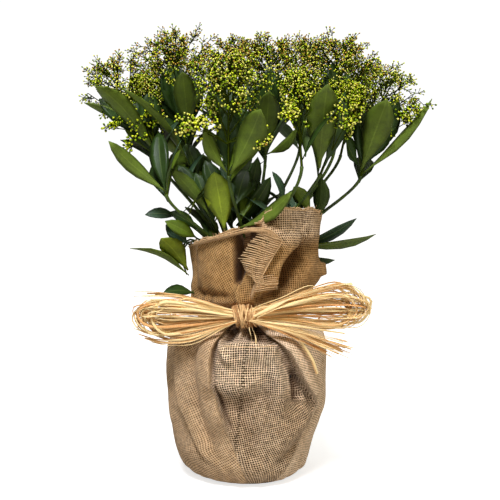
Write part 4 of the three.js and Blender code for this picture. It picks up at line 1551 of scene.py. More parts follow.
    def band(self, rng: np.random.Generator) -> Strands:
        """Gathers the turns of straw round the neck of the wrap.

        Args:
            rng: where their unevenness comes from.
        Returns:
            The straws.
        """
        strands = Strands()
        turn = np.linspace(0, math.tau, 72)
        for k in range(9):
            height = 176.4 + 1.25 * k + 0.8 * np.sin(turn * 2 + rng.uniform(0, 6))
            radius = self.band_radius + rng.uniform(-0.9, 1.0) + 0.4 * np.sin(turn * 5 + rng.uniform(0, 6))
            line = stack(radius * np.cos(turn), radius * np.sin(turn), height)
            strands.add(line, 1.3, stack(np.cos(turn), np.sin(turn), 0), rng.uniform(0.2, 0.95))
        return strands

    def build(self) -> list[bpy.types.Object]:
        """Builds every part of the tie.

        Returns:
            Its pieces.
        """
        rng = np.random.default_rng(52)
        straw = ThreadFinish("raffia_straw", (255, 227, 166), (216, 146, 76), 0.6, 0.1, 1.6).material()
        tight = ThreadFinish("raffia_knot_straw", (250, 208, 146), (150, 90, 34), 0.6, 0.1, 1.6).material()
        parts = (
            ("raffia_neck_band", self.band(rng), "raffia_band", straw),
            ("raffia_knot_wraps", self.wraps(rng), "raffia_knot", tight),
            ("raffia_bow_left", self.bow(-1, rng), "raffia_loop_left", straw),
            ("raffia_bow_right", self.bow(1, rng), "raffia_loop_right", straw),
            ("raffia_ends_left", self.ends(-1, rng), "raffia_tails_left", straw),
            ("raffia_ends_right", self.ends(1, rng), "raffia_tails_right", straw),
        )
        pieces = []
        for name, strands, node, finish in parts:
            pieces.append(settle(grow_strands(name, strands, Section.STRAW, finish), [node]))
        pieces.append(self.core())
        return pieces

    def core(self) -> bpy.types.Object:
        """Builds the closed middle of the knot, under its turns of straw.

        Returns:
            The piece.
        """
        core = Draft()
        line = np.array(self.knot) + stack(np.linspace(-11, 11, 9), 3.0, 0.0)
        swell = np.sqrt(1 - np.linspace(-0.94, 0.94, 9) ** 2) * 10.8
        add_tube(core, line, swell[:, None] * np.ones(14))
        # painted shade: the core is straw in a darker tone, so the gaps between the wraps read as shadow
        core.marks["tone"] = [np.full(core.count, 0.3)]
        shade = ThreadFinish("raffia_knot_shade", (204, 148, 84), (148, 98, 44), 0.8, 0.0, 1.6).material()
        return settle(core.piece("raffia_knot_core", shade))


# ---------------------------------------------------------------- the plant's wood


@dataclass(frozen=True)
class Shoot:
    """One flowering shoot: the bough that it grows from, its flower head and its whorl of leaves."""

    name: str
    bough: str
    azimuth: float
    reach: float
    height: float
    lean: float
    head: float
    whorl: float

    @property
    def axis(self) -> Array:
        """The way that the shoot points."""
        return polar(self.azimuth, math.sin(math.radians(self.lean)), math.cos(math.radians(self.lean)))

    @property
    def middle(self) -> Array:
        """The middle of its flower head."""
        return polar(self.azimuth, self.reach, self.height)

    @property
    def node(self) -> Array:
        """The place on the stem where its leaves are set."""
        return self.middle - self.axis * self.whorl


SHOOTS = (
    Shoot("left_outer", "left", 190, 148, 426, 30, 35, 92),
    Shoot("left_top", "left", 176, 85, 455, 9, 40, 92),
    Shoot("left_low", "left", 211, 128, 400, 16, 30, 92),
    Shoot("front_left", "front", 251, 85, 426, 10, 40, 96),
    Shoot("front_right", "front", 306, 93, 411, 2, 35, 70),
    Shoot("right_low", "right", 330, 123, 402, 28, 31, 78),
    Shoot("right_top", "right", 354, 94, 450, 1, 40, 88),
    Shoot("right_outer", "right", 2, 154, 420, 19, 38, 96),
    Shoot("centre_top", "back", 60, 44, 455, 5, 36, 104),
    Shoot("right_back", "right", 32, 148, 426, 18, 36, 78),
    Shoot("back_right", "back", 55, 114, 442, 8, 37, 78),
    Shoot("back_middle", "back", 106, 106, 444, 12, 37, 84),
    Shoot("back_left", "back", 140, 124, 432, 16, 38, 84),
)


@dataclass
class Limbs:
    """The trunk in the compost, its four boughs and the stem of each shoot."""

    boughs: dict[str, float] = field(default_factory=lambda: {
        "left": 192, "front": 278, "right": 352, "back": 85,
    })
    trunk_foot: float = 124.35
    trunk_top: float = 147.5
    bough_foot: tuple[float, float] = (6.4, 146.35)
    fork_reach: float = 20.0
    fork_height: float = 222.0
    stem_space: float = 2.75
    stem_lift: float = 1.35

    def fork(self, bough: str) -> Array:
        """The place where a bough parts into stems."""
        return polar(self.boughs[bough], self.fork_reach, self.fork_height)

    def bough_line(self, bough: str, count: int = 34) -> Array:
        """The middle of a bough.

        Args:
            bough: its name.
            count: how many points to give.
        Returns:
            The points from the trunk to the fork.
        """
        foot = polar(self.boughs[bough], *self.bough_foot) + [0, 2, 0]
        fork = self.fork(bough)
        return bezier([foot, (foot + fork) / 2 + UP * 8, fork], count)

    def stem_line(self, shoot: Shoot, count: int = 46) -> Array:
        """The middle of a shoot's stem.

        Args:
            shoot: the shoot.
            count: how many points to give.
        Returns:
            The points from its fork to its whorl.
        """
        azimuth, fork = self.boughs[shoot.bough], self.fork(shoot.bough)

        def turned(mate: Shoot) -> float:
            """How far round from its bough a shoot heads."""
            way = mate.node - fork
            return (math.degrees(math.atan2(way[1], way[0])) - azimuth + 540) % 360 - 180

        mates = sorted((s for s in SHOOTS if s.bough == shoot.bough), key=turned)
        slot = mates.index(shoot) - (len(mates) - 1) / 2
        ring = self.stem_space / math.sin(math.pi / len(mates))
        foot = fork + polar(azimuth + slot * 360 / len(mates), ring, self.stem_lift)
        tip = shoot.node
        rise = (tip[2] - foot[2]) * 0.45
        leave, arrive = foot + (tip - foot) * 0.12 + UP * rise * 0.75, tip - shoot.axis * rise * 0.6
        return bezier([foot, leave, arrive, tip], count)

    def twig_line(self, leaf: "Leaf", count: int = 18) -> Array:
        """The middle of the thin twig that carries a low leaf.

        Args:
            leaf: the leaf.
            count: how many points to give.
        Returns:
            The points from the nearest fork to a little way into the blade.
        """
        foot = np.array(leaf.foot, float)
        forks = [self.fork(bough) for bough in self.boughs]
        fork = min(forks, key=lambda place: float(np.linalg.norm(place - foot)))
        via = leaf.via or [(fork + foot) / 2 + UP * 8]
        return through([fork, *via, foot + (foot - np.array(leaf.tip)) * -0.04], count)

    @staticmethod
    def bark(line: Array, radius: Array, sides: int, seed: int, relief: float, scars: int) -> Array:
        """The radius of a limb at each point and side, with furrows along it and old leaf scars.

        Args:
            line: the middle of the limb.
            radius: its smooth radius at each point.
            sides: how many sides it has.
            seed: where its unevenness comes from.
            relief: how deep the bark is.
            scars: how many leaf scars it carries.
        Returns:
            The radius at each point and side.
        """
        rng = np.random.default_rng(seed)
        turn = np.linspace(0, 360, sides, endpoint=False)
        run = lengths_along(line)
        place = stack(cosine(turn) * 9, sine(turn) * 9, run[:, None] * 0.35)
        furrows = 0.6 * Ripple(seed, 6).at(place) + 0.5 * Ripple(seed + 1, 2.6).at(place)
        rough = radius[:, None] + relief * furrows
        for k in range(scars):
            at, side = run[-1] * (k + rng.uniform(0.2, 0.8)) / scars, rng.uniform(0, 360)
            off = (turn - side + 540) % 360 - 180
            rough += 1.6 * relief * hump(run[:, None], at, 1.8) * (0.35 + hump(off, 0, 50))
        return rough

    def build(self) -> list[bpy.types.Object]:
        """Builds the trunk, the boughs and the stems with their bark.

        Returns:
            The three pieces.
        """
        trunk, boughs, stems = Draft(), Draft(), Draft()
        share = np.linspace(0, 1, 16)
        line = stack(0, 2 * share, self.trunk_foot + (self.trunk_top - self.trunk_foot) * share)
        radius = 11.2 - 0.8 * share + 2.8 * np.exp(-8 * share)
        add_tube(trunk, line, self.bark(line, radius, 30, 3, 0.55, 2))
        for k, bough in enumerate(self.boughs):
            line = self.bough_line(bough)
            share = np.linspace(0, 1, len(line))
            radius = 3.7 - 0.6 * share + 2.2 * np.exp(-14 * (1 - share))
            add_tube(boughs, line, self.bark(line, radius, 16, 60 + 7 * k, 0.3, 7))
        for leaf in LOW_LEAVES:
            add_tube(stems, self.twig_line(leaf), np.linspace(1.7, 0.8, 18)[:, None] * np.ones(6))
        for k, shoot in enumerate(SHOOTS):
            line = self.stem_line(shoot)
            share = np.linspace(0, 1, len(line))
            radius = 1.95 - 0.35 * share + 0.5 * np.exp(-20 * (1 - share))
            add_tube(stems, line, self.bark(line, radius, 10, 90 + 5 * k, 0.13, 6))
        wood = PatchFinish("brown_bark", (112, 92, 60), (58, 46, 30), 5, 0.85, 0.2, 0.5, 0.8).material()
        young = PatchFinish("green_bark", (74, 94, 26), (38, 54, 16), 12, 0.5, 0.3, 0.15, 0.4).material()
        return [
            settle(trunk.piece("trunk_bark", wood), ["trunk"]),
            settle(boughs.piece("bough_bark", wood), ["bough_" + b for b in self.boughs]),
            settle(stems.piece("stem_bark", young), ["stem_" + s.name for s in SHOOTS]),
        ]


# ---------------------------------------------------------------- the leaves


class LeafKind(Enum):
    """The greens of the leaves: the upper side, the underside and the midrib."""

    FRESH = ((138, 158, 26), (128, 146, 34), (150, 168, 46))
    OLIVE = ((94, 118, 26), (98, 118, 34), (114, 134, 44))
    DARK = ((44, 68, 20), (60, 80, 26), (80, 100, 42))
    BLUE = ((62, 90, 62), (92, 114, 66), (110, 132, 88))


@dataclass(frozen=True)
class Leaf:
    """One leaf: where it starts and ends, its width, how its upper side turns from the front, and its twig."""

    kind: LeafKind
    foot: tuple[float, float, float]
    tip: tuple[float, float, float]
    width: float
    turn: float
    arch: float = 4.0
    via: tuple[tuple[float, float, float], ...] = ()


FRESH, OLIVE, DARK, BLUE = LeafKind
WHORL_LEAVES = {
    "left_outer": (
        (OLIVE, (0, 0, 6), (-154, -100, 426), 21, 165, 14),
        (OLIVE, (-8, 0, 26), (-176, -30, 409), 17, 130, 3)
    ),
    "left_low": ((OLIVE, (0, 0, 3), (-146, -72, 367), 17, 200, 8),),
    "left_top": (
        (OLIVE, (5, -3, -24), (-130, -66, 425), 18, 124, 6),
        (OLIVE, (4, -8, 12), (-68, -88, 438), 24, 184, 5), (DARK, (-2, 0, 4), (-96, 14, 436), 21, 10, 3),
        (DARK, (-4, -2, 0), (-113, -5, 412), 19, 30, 4)
    ),
    "front_left": (
        (OLIVE, (2, -3, 2), (13, -112, 400), 30, 168, 6), (OLIVE, (-2, -3, 4), (-47, -92, 382), 21, 225, 4),
        (DARK, (0, 4, 4), (-23, -52, 400), 26, 5, 3)
    ),
    "centre_top": (
        (OLIVE, (0, -3, 0), (20, -36, 423), 27, 185, 5), (OLIVE, (2, 0, 2), (53, 10, 380), 20, 125, 3),
        (DARK, (-2, 0, 3), (-11, 10, 404), 22, 10, 4)
    ),
    "right_low": (
        (OLIVE, (-2, -4, 6), (77, -98, 424), 34, 184, 6), (DARK, (4, 0, 8), (101, -50, 418), 22, 20, 4)
    ),
    "front_right": ((DARK, (4, 4, 10), (56, -40, 400), 14, 150, 3),),
    "right_outer": (
        (DARK, (-4, -2, 12), (103, -30, 372), 19, 40, -3), (OLIVE, (0, -2, 8), (143, -52, 411), 32, 172, 6),
        (OLIVE, (2, 0, 3), (200, -16, 409), 20, 120, 2), (DARK, (2, 2, 10), (163, 14, 404), 20, 20, 4)
    ),
    "right_top": (
        (DARK, (-2, 0, 4), (66, -24, 415), 20, 160, 3), (DARK, (2, 0, 4), (110, 8, 426), 22, 15, 4)
    ),
}
LOW_LEAVES = (
    Leaf(FRESH, (-27, -48, 273), (-37, -66, 336), 31, 176, 4),
    Leaf(OLIVE, (-44, -34, 290), (-84, -44, 340), 18, 160, 4),
    Leaf(DARK, (-39, -22, 274), (-58, -20, 334), 26, 20, 3),
    Leaf(DARK, (-15, -30, 277), (24, -24, 328), 21, 30, 4),
    Leaf(OLIVE, (-11, -46, 276), (46, -72, 313), 23, 126, 4),
    Leaf(BLUE, (36, -8, 298), (25, -14, 335), 13, 50, 4),
    Leaf(OLIVE, (66, -18, 290), (47, -26, 319), 18, 170, 2),
    Leaf(DARK, (74, -10, 282), (78, -14, 328), 20, 160, 3),
    Leaf(DARK, (-7, -8, 298), (10, -10, 350), 18, 30, 3),
    Leaf(DARK, (-20, -6, 298), (-15, 4, 349), 20, 10, 3),
    Leaf(DARK, (-30, -30, 299), (-48, -26, 347), 22, 20, 3),
    Leaf(DARK, (-51, -20, 299), (-78, -14, 342), 18, 20, 3),
    Leaf(BLUE, (-78, -14, 286), (-112, -30, 290), 14, 40, 3),
    Leaf(DARK, (-57, -16, 272), (-86, -26, 292), 15, 35, 3),
    Leaf(OLIVE, (-58, -20, 263), (-90, -44, 283), 16, 20, 4),
    Leaf(FRESH, (-68, -14, 227), (-95, -38, 266), 25, 165, 5, ((-48, 6, 250), (-68, 6, 259), (-75, 2, 246))),
    Leaf(
        OLIVE, (-67, -12, 221), (-128, -34, 255), 20, 122, 6,
        ((-46, 12, 248), (-67, 14, 256), (-76, 8, 240))
    ),
    Leaf(BLUE, (-68, -10, 255), (-92, -10, 277), 20, 20, 3),
    Leaf(
        DARK, (-60, -26, 203), (-91, -48, 209), 16, 55, 3,
        ((-50, 24, 250), (-60, 28, 259), (-63, 29, 244), (-62, 22, 222), (-65, 2, 208))
    ),
    Leaf(BLUE, (48, 26, 246), (119, 10, 281), 18, 38, 5),
    Leaf(OLIVE, (46, 30, 251), (139, 0, 261), 22, 56, 4),
    Leaf(DARK, (42, 42, 243), (95, 20, 233), 16, 40, 7),
)
# The gaps between the stems, by their sides and their lowest and highest points, as seen and as built.
CLEAR = (
    (17, 50, 332, 352), (76, 104, 316, 360), (107, 117, 334, 352), (-46, -35, 346, 362),
    (130, 190, 318, 352), (52, 66, 322, 340), (68, 78, 362, 374)
)
SKY = ((20, 56, 318, 376), (64, 122, 286, 350), (-78, -62, 300, 330), (-50, -36, 330, 352))


@dataclass
class Foliage:
    """All the leaves: those that show singly, and the whorls and inner leaves that fill every side."""

    limbs: Limbs
    stations: tuple[float, ...] = (0, 0.1, 0.24, 0.4, 0.57, 0.74, 0.89, 1.0)
    outline: tuple[float, ...] = (0.09, 0.16, 0.5, 0.86, 1.0, 0.88, 0.52, 0.03)
    across: tuple[float, ...] = (-1, -0.5, -0.045, 0.045, 0.5, 1)
    whorl_count: int = 11
    inner_count: int = 62
    backing_count: int = 70
    most_tries: int = 900
    drafts: dict[LeafKind, Draft] = field(default_factory=lambda: {kind: Draft() for kind in LeafKind})
    count: int = 0

    def blade(self, leaf: Leaf, rng: np.random.Generator, facing: Optional[Array] = None) -> None:
        """Adds one closed blade: folded a little at its midrib, arched, and wavy at its edge.

        Args:
            leaf: the leaf.
            rng: where its unevenness comes from.
            facing: the way its upper side looks, or none to turn it from the front.
        """
        foot, tip = np.array(leaf.foot, float), np.array(leaf.tip, float)
        axis, length = unit(tip - foot), float(np.linalg.norm(tip - foot))
        look = np.array([0.0, -1.0, 0.0]) if facing is None else facing
        look = unit(look - axis * (look @ axis))
        angle = math.radians(leaf.turn if facing is None else rng.uniform(-20, 20))
        face = look * math.cos(angle) + np.cross(axis, look) * math.sin(angle)
        twist = rng.uniform(-0.25, 0.25)
        fold, curl, wave = rng.uniform(0.1, 0.3), rng.uniform(0.01, 0.07) * length, rng.uniform(0, 6)
        t = np.array(self.stations)
        bow = leaf.arch * np.sin(math.pi * t) - curl * t**3
        mid = foot + np.outer(t, axis) * length + np.outer(bow, face)
        if facing is not None and self.covers_gap(mid):
            return
        spin = twist * (t - 0.3)
        side = np.cos(spin)[:, None] * np.cross(face, axis) + np.sin(spin)[:, None] * face
        normal = np.cross(axis, side)
        half = np.array(self.outline) * leaf.width / 2
        ring = []
        for top, places in ((1, self.across), (-1, self.across[-2:0:-1])):
            for s in places:
                rise = fold * abs(s) ** 1.3 * half + 0.05 * half * np.sin(t * 9 + wave + 2 * s) * abs(s)
                thick = 0.0 if abs(s) == 1 else (0.28 if top > 0 else -0.28 - 0.35 * (abs(s) < 0.1) * (1 - t))
                ring.append(mid + side * (s * half)[:, None] + normal * (rise + thick)[:, None])
        points = np.stack(ring, axis=1)
        rows, wide = points.shape[:2]
        kinds = np.tile(np.array([0, 0, 1, 0, 0, 2, 2, 1, 2, 2]), rows - 1)
        draft = self.drafts[leaf.kind]
        start = draft.count
        draft.add(points.reshape(-1, 3), grid_faces(rows, wide, True)[:, ::-1], kinds=kinds)
        draft.more(start + np.arange(wide)[None, :])
        draft.more(start + (rows - 1) * wide + np.arange(wide)[None, ::-1])
        self.count += 1

    @staticmethod
    def covers_gap(line: Array) -> bool:
        """Looks for a blade in the gaps between the stems.

        Args:
            line: its midrib.
        Returns:
            Whether it is seen in one of them from the front.
        """
        nearer = EYE_DISTANCE / (EYE_DISTANCE + line[:, 1])
        x, z = line[:, 0] * nearer, EYE_HEIGHT + (line[:, 2] - EYE_HEIGHT) * nearer
        return any(np.any((a < x) & (x < b) & (c < z) & (z < d)) for a, b, c, d in CLEAR)

    @staticmethod
    def in_sky(*places: Array) -> bool:
        """Whether any of the places falls in an opening that stays clear."""
        return any(a < x < b and c < z < d for x, _, z in places for a, b, c, d in SKY)

    def whorls(self, rng: np.random.Generator) -> None:
        """Adds each shoot's own leaves and then fills its whorl by the golden angle.

        Args:
            rng: where their unevenness comes from.
        """
        for shoot in SHOOTS:
            own = []
            for kind, offset, tip, width, turn, arch in WHORL_LEAVES.get(shoot.name, ()):
                own.append(Leaf(kind, tuple(shoot.node + np.array(offset)), tip, width, turn, arch))
                self.blade(own[-1], rng)
            taken = [unit(np.array(leaf.tip) - leaf.foot) for leaf in own]
            side = unit(np.cross(shoot.axis, [0.3, 1, 0.2]))
            other = np.cross(shoot.axis, side)
            start = rng.uniform(0, 360)
            back = shoot.middle[1] > 40
            for k in range(self.whorl_count):
                angle = math.radians(start + GOLDEN * k)
                out = side * math.cos(angle) + other * math.sin(angle)
                spread = math.radians(rng.uniform(26, 40) if k < 6 else rng.uniform(40, 58))
                way = shoot.axis * math.cos(spread) + out * math.sin(spread)
                length = rng.uniform(58, 78) * (1 if k < 6 else 0.85)
                foot = shoot.node - shoot.axis * (1.6 * k - 8)
                tip = foot + way * length
                if any(way @ t > 0.86 for t in taken) or self.in_sky(foot + way * length * 0.6, tip):
                    continue
                if not back and way[1] < -0.28:
                    continue
                kind = rng.choice([OLIVE, DARK, DARK, BLUE] if way[1] < 0.1 else [DARK, DARK, OLIVE])
                leaf = Leaf(kind, tuple(foot), tuple(tip), rng.uniform(20, 27), 0, rng.uniform(1, 6))
                self.blade(leaf, rng, shoot.axis * 0.9 - out * 0.6)

    def backing(self, rng: np.random.Generator) -> None:
        """Adds the dark leaves that close the plant behind its flower heads.

        Args:
            rng: where their unevenness comes from.
        """
        placed, tries = 0, 0
        while placed < self.backing_count and tries < self.most_tries:
            tries += 1
            shoot = SHOOTS[int(rng.integers(len(SHOOTS)))]
            foot = shoot.node + shoot.axis * rng.uniform(4, 36)
            way = unit(shoot.axis + polar(GOLDEN * tries, rng.uniform(0.15, 0.6)))
            tip = foot + way * rng.uniform(50, 72)
            if tip[2] > shoot.height + 4 or tip[1] < -30 or self.in_sky(tip, (foot + tip) / 2):
                continue
            leaf = Leaf(DARK, tuple(foot), tuple(tip), rng.uniform(22, 30), 0, rng.uniform(1, 5))
            self.blade(leaf, rng, np.array([0.3, -1.0, 0.3]))
            placed += 1

    def inner(self, rng: np.random.Generator) -> None:
        """Adds the leaves lower on the stems, which close the plant within the ruff.

        Args:
            rng: where their unevenness comes from.
        """
        placed, tries = 0, 0
        while placed < self.inner_count and tries < self.most_tries:
            tries += 1
            shoot = SHOOTS[int(rng.integers(len(SHOOTS)))]
            line = self.limbs.stem_line(shoot)
            foot = line[int(rng.integers(12, 34))]
            azimuth = GOLDEN * tries
            tilt = math.radians(rng.uniform(28, 66))
            way = polar(azimuth, math.sin(tilt), math.cos(tilt))
            length = rng.uniform(42, 64)
            tip = foot + way * length
            aside, reach = abs(tip[0]), float(np.hypot(tip[0], tip[1]))
            low_outside = tip[2] < 286 and reach > 96
            in_front = tip[1] < -8 and way[1] < -0.3
            past_side = tip[1] < 30 and (aside > 84 or (tip[2] < 292 and aside > 66))
            if tip[2] > 372 or low_outside or in_front or past_side:
                continue
            if self.in_sky(foot + way * length * 0.5, tip):
                continue
            kind = rng.choice([DARK, DARK, BLUE, OLIVE])
            leaf = Leaf(kind, tuple(foot), tuple(tip), rng.uniform(17, 24), 0, rng.uniform(1, 5))
            self.blade(leaf, rng, UP * 0.8 - polar(azimuth, 1) * 0.4)
            placed += 1

    def build(self) -> list[bpy.types.Object]:
        """Builds the leaves, each green as one piece.

        Returns:
            The pieces.
        """
        rng = np.random.default_rng(77)
        for leaf in LOW_LEAVES:
            self.blade(leaf, rng)
        self.whorls(rng)
        self.backing(rng)
        self.inner(rng)
        log.info("%d leaves", self.count)
        pieces = []
        nodes = ["leaves_" + s.name for s in SHOOTS] + ["low_leaves_" + b for b in self.limbs.boughs]
        for kind, draft in self.drafts.items():
            label = kind.name.lower()
            skins = []
            for part, tone in zip(("upper", "under", "rib"), kind.value):
                deep = tuple(int(c * 0.82) for c in tone)
                rough = 0.44 if part == "upper" else 0.6
                finish = PatchFinish(f"leaf_{label}_{part}", tone, deep, 14, rough, 0.28, 0.12, 0.35)
                skins.append(finish.material())
            piece = draft.piece("leaves_in_" + label, skins[0], skins[2], skins[1])
            pieces.append(settle(piece, nodes if kind is OLIVE else ()))
        return pieces


# ---------------------------------------------------------------- the flower heads


class BudKind(Enum):
    """The colours of the buds: the pale tip, and the dark base, which is partly the bud's green base and partly
    painted shade.
    """

    CREAM = ((255, 250, 122), (84, 84, 0))
    LIME = ((236, 246, 50), (42, 62, 0))
    GREEN = ((150, 182, 12), (22, 40, 0))
    RUSSET = ((214, 166, 62), (52, 30, 0))


@dataclass
class FlowerHeads:
    """The domed panicles of small round buds on branching stalks, by a seeded branching rule."""

    branches: int = 20
    twigs: int = 8
    buds: int = 8
    aspect: float = 0.8
    spread: float = 1.42
    sparse: dict[str, int] = field(default_factory=lambda: {
        "left_outer": 14, "right_outer": 14, "right_back": 16, "back_left": 16, "front_right": 14,
    })
    slight: dict[str, float] = field(default_factory=lambda: {
        "front_right": 0.52, "left_low": 0.5, "right_low": 0.52, "left_outer": 0.88, "front_left": 0.84,
    })
    nudge: dict[str, tuple[float, float, float]] = field(default_factory=lambda: {
        "front_right": (-4, 34, 14), "left_low": (-6, 64, 24), "right_low": (-2, 34, 14),
        "left_outer": (0, 8, 6), "front_left": (6, 8, 4), "right_outer": (-8, 0, 0),
        "back_left": (6, 0, 10), "back_middle": (14, 0, 16), "back_right": (-4, 0, 16),
        "right_back": (0, 0, 8),
    })
    strays: tuple[tuple[str, Path], ...] = (
        ("left_outer", ((-146, -40, 380), (-124, -40, 364), (-136, -34, 392))),
        ("front_left", ((-68, -104, 381), (-60, -104, 385), (-54, -102, 379))),
        ("front_left", ((14, -84, 368), (8, -84, 376))),
        ("right_low", ((89, -78, 396), (98, -74, 384))),
        ("right_outer", ((182, -4, 394), (172, -8, 404))),
        ("front_right", ((38, -84, 392), (42, -84, 402))),
    )
    stalks: Strands = field(default_factory=Strands)
    spots: dict[BudKind, Strands] = field(default_factory=lambda: {kind: Strands() for kind in BudKind})

    def bud(self, rng: np.random.Generator, place: Array, way: Array) -> None:
        """Sets one bud at the end of its stalk: small and often russet high up, plump and green low in front.

        Args:
            rng: where its colour and size come from.
            place: its middle.
            way: the way its stalk points.
        """
        front = ease(-52, -78, place[1]) * ease(452, 436, place[2])
        draw, russet = rng.uniform(), 0.02 + 0.34 * ease(425, 472, place[2]) * (1 - front)
        plump = 0.88 + 0.34 * max(ease(416, 400, place[2]), 0.55 * front)
        greens = (BudKind.GREEN, BudKind.LIME, BudKind.CREAM)
        choices = 2 if place[0] < -100 and place[2] < 400 else 3
        kind = BudKind.RUSSET if draw < russet else greens[int(choices * (draw - russet) / (1 - russet))]
        spots = self.spots[kind]
        spots.lines.append(place[None])
        spots.girths.append(np.array([rng.uniform(0.84, 1.2) * plump]) * MM)
        spots.facings.append(way[None])
        spots.tones.append(np.array([rng.uniform()]))

    def spray(self, rng: np.random.Generator, foot: Array, way: Array, reach: float) -> None:
        """Grows one twig and the buds about its end.

        Args:
            rng: where its unevenness comes from.
            foot: where it starts.
            way: the way it heads.
            reach: how long it is.
        """
        end = foot + way * reach
        bend = foot + way * reach * 0.5 + rng.normal(size=3) * reach * 0.07
        self.stalks.add(np.array([foot, bend, end]), np.array([0.5, 0.42, 0.36]), tone=rng.uniform(0.1, 0.9))
        side = unit(np.cross(way, rng.normal(size=3)))
        other = np.cross(way, side)
        for k in range(self.buds):
            share = 0.42 + 0.58 * k / (self.buds - 1)
            angle = math.radians(GOLDEN * k + rng.uniform(-30, 30))
            spread = math.radians(rng.uniform(34, 66)) * (1.0 if k < self.buds - 1 else 0.15)
            across = side * math.cos(angle) + other * math.sin(angle)
            out = way * math.cos(spread) + across * math.sin(spread)
            start = foot + (bend - foot) * 2 * share if share < 0.5 else bend + (end - bend) * (2 * share - 1)
            tip = start + out * rng.uniform(2.6, 5.0)
            self.stalks.add(np.array([start, tip]), np.array([0.3, 0.34]), tone=rng.uniform(0.1, 0.9))
            self.bud(rng, tip + out * 0.9, out)

    def head(self, shoot: Shoot, rng: np.random.Generator) -> None:
        """Grows one flower head.

        Args:
            shoot: the shoot that carries it.
            rng: where its unevenness comes from.
        """
        axis, size = shoot.axis, shoot.head * self.slight.get(shoot.name, 1.0)
        side = unit(np.cross(axis, [0.2, 1, 0.1]))
        other = np.cross(axis, side)
        middle = shoot.middle + np.array(self.nudge.get(shoot.name, (0, 0, 0)))
        tip = middle + axis * size * 0.35
        stalk = bezier([shoot.node, (shoot.node + tip) / 2 + rng.normal(size=3) * 1.5, tip], 12)
        self.stalks.add(stalk, np.linspace(1.7, 0.9, 12), tone=0.7)
        branches = self.sparse.get(shoot.name, self.branches)
        start = rng.uniform(0, 360)
        for k in range(branches):
            share = (k + 0.5) / branches
            angle = math.radians(start + GOLDEN * k)
            spread = math.radians(104 - 92 * share**0.85)
            out = side * math.cos(angle) + other * math.sin(angle)
            dome = axis * math.cos(spread) * self.aspect + out * math.sin(spread) * self.spread
            goal = middle + dome * size * rng.uniform(0.6, 0.84)
            foot = stalk[int(3 + 8 * share**0.7)]
            bend = (foot + goal) / 2 + axis * size * (0.02 - 0.16 * (1 - share)) + out * size * 0.04
            line = bezier([foot, bend, goal], 8)
            self.stalks.add(line, np.linspace(1.0, 0.5, 8), tone=rng.uniform(0.2, 0.8))
            for j in range(self.twigs):
                at = 0.34 + 0.66 * j / (self.twigs - 1)
                base = line[int(round(at * 7))]
                way = unit(goal - middle) * (0.5 + 0.5 * at) + unit(rng.normal(size=3)) * 0.72
                way = unit(way + axis * 0.12)
                self.spray(rng, base, way, rng.uniform(0.15, 0.4) * size)

    def stray(self, rng: np.random.Generator) -> None:
        """Grows the small sprays that stand apart below the heads.

        Args:
            rng: where their unevenness comes from.
        """
        shoots = {s.name: s for s in SHOOTS}
        for name, goal in ((name, goal) for name, goals in self.strays for goal in goals):
            shoot, goal = shoots[name], np.array(goal, float)
            foot = shoot.node + shoot.axis * shoot.whorl * 0.35
            line = bezier([foot, (foot + goal) / 2 + shoot.axis * 6, goal], 8)
            self.stalks.add(line, np.linspace(0.8, 0.45, 8), tone=0.8)
            for _ in range(5 if name == "left_outer" else 8):
                way = unit(unit(goal - foot) + rng.normal(size=3) * 0.8)
                self.spray(rng, line[int(rng.integers(5, 8))], way, rng.uniform(4, 9))

    def build(self) -> list[bpy.types.Object]:
        """Builds every head: the stalks as one piece and each colour of bud as another.

        Returns:
            The pieces.
        """
        rng = np.random.default_rng(91)
        for shoot in SHOOTS:
            self.head(shoot, rng)
        self.stray(rng)
        # the near-black dark end is partly the stalks' own dark olive and partly painted shade between the buds
        green = ThreadFinish("flower_stalk", (62, 76, 2), (16, 13, 0), 0.65, 0.0, 5.0, 0.05).material()
        stalks = grow_strands("flower_stalks", self.stalks, Section.THREAD, green)
        pieces = [settle(stalks, ["flowers_" + s.name for s in SHOOTS])]
        for kind, spots in self.spots.items():
            label = kind.name.lower()
            light, dark = kind.value
            skin = BudFinish("bud_" + label, light, dark).material()
            bare = spots.source("buds_" + label)
            piece = grow(bare, bud_tree(), Segments=5, Rings=4, Length=1.15, Finish=skin)
            pieces.append(settle(piece))
        return pieces


# ---------------------------------------------------------------- the studio


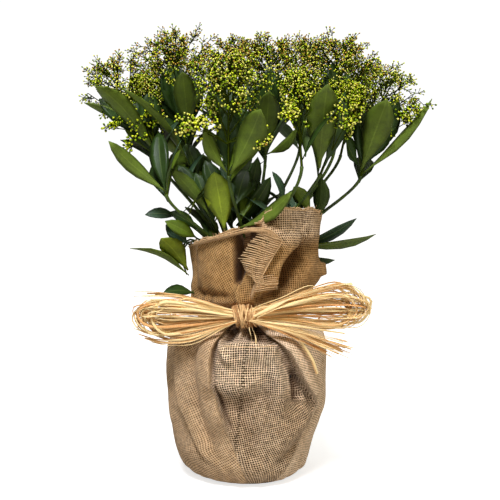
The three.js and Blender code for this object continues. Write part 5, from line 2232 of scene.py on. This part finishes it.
@dataclass
class Studio:
    """A plain white floor, soft light from the left and front, and the camera."""

    eye: tuple[float, float, float] = (0.0, -1.15, 0.36)
    pitch: float = 5.57
    lens: float = 75.24
    cool: tuple[float, float, float] = (0.97, 1.0, 1.09)
    warm: tuple[float, float, float] = (1.06, 0.94, 0.66)
    plain: tuple[float, float, float] = (1.0, 1.0, 1.0)
    floor_reach: float = 4000.0
    floor_drop: float = 0.2

    def lamp(
        self, name: str, place: Sequence[float], aim: Sequence[float], size: float, power: float,
        colour: Sequence[float],
    ) -> None:
        """Sets a soft square light.

        Args:
            name: its name.
            place: where it hangs.
            aim: what it points at.
            size: its side in metres.
            power: its power in watts.
            colour: its tint.
        """
        light = bpy.data.lights.new(name, "AREA")
        light.color = colour
        light.shape = "SQUARE"
        light.size = size
        light.energy = power
        lamp = place_in_scene(name, light)
        lamp.location = place
        way = unit(np.array(aim, float) - np.array(place, float))
        lamp.rotation_euler = (math.acos(-way[2]), 0, math.atan2(way[1], way[0]) - math.pi / 2)

    def floor(self) -> None:
        """Lays the floor, which the camera sees as nearly white."""
        draft = Draft()
        far, low = self.floor_reach, -self.floor_drop
        corners = np.array([[-far, -far, low], [far, -far, low], [far, far, low], [-far, far, low]])
        draft.add(corners, np.arange(4)[None])
        skin = Skin("studio_floor", 0.9, 0.1)
        n = skin.n
        pale = skin.mottle(skin.object, 300.0, (0.62, 0.62, 0.62, 1), (0.59, 0.59, 0.59, 1))["Color"]
        away = n.add("ShaderNodeVectorMath", {0: skin.object}, operation="LENGTH").outputs["Value"]
        seen = n.add("ShaderNodeLightPath").outputs["Is Camera Ray"]
        glow = n.calc("MULTIPLY", seen, n.between(away, 0.1, 0.5, 0.72, 1.0))
        n.feed(skin.shader.inputs["Emission Strength"], glow)
        n.feed(skin.shader.inputs["Emission Color"], WHITE)
        draft.piece("floor", skin.finish(pale), smooth=False)

    def world(self) -> None:
        """Sets the warm light from all round, which the camera sees as white."""
        world = bpy.data.worlds.new("studio")
        bpy.context.scene.world = world
        world.use_nodes = True
        n = Nodes(world.node_tree)
        seen = n.add("ShaderNodeLightPath").outputs["Is Camera Ray"]
        sky = world.node_tree.nodes["Background"].inputs
        n.feed(sky["Color"], n.mix(seen, (*self.warm, 1), WHITE))
        n.feed(sky["Strength"], n.between(seen, 0, 1, 0.17, 1.05))

    def camera(self) -> None:
        """Sets the camera."""
        lens = bpy.data.cameras.new("camera")
        lens.lens = self.lens
        lens.sensor_width = 36
        lens.clip_start = 0.05
        camera = place_in_scene("camera", lens)
        camera.location = self.eye
        camera.rotation_euler = (math.radians(90 - self.pitch), 0, 0)
        bpy.context.scene.camera = camera
        bpy.context.scene.view_settings.view_transform = "Standard"

    def build(self) -> None:
        """Sets the floor, the lights, the world and the camera."""
        self.floor()
        self.lamp("key", (-0.24, -1.08, 1.7), (0, 0, 0.25), 0.5, 37, self.cool)
        self.lamp("fill", (1.3, -1.3, 0.8), (0, 0, 0.25), 1.4, 7, self.warm)
        self.lamp("top", (0.2, 0.3, 1.9), (0, 0, 0.3), 1.0, 10, self.plain)
        self.world()
        self.camera()


def main() -> None:
    """Builds the plant in its pot, one sub-assembly after another."""
    logging.basicConfig(level=logging.INFO, format="%(name)s: %(message)s")
    Studio().build()
    NurseryPot().build()
    Compost().build()
    HessianWrap().build()
    RaffiaTie().build()
    limbs = Limbs()
    limbs.build()
    Foliage(limbs).build()
    FlowerHeads().build()


if __name__ == "__main__":
    main()
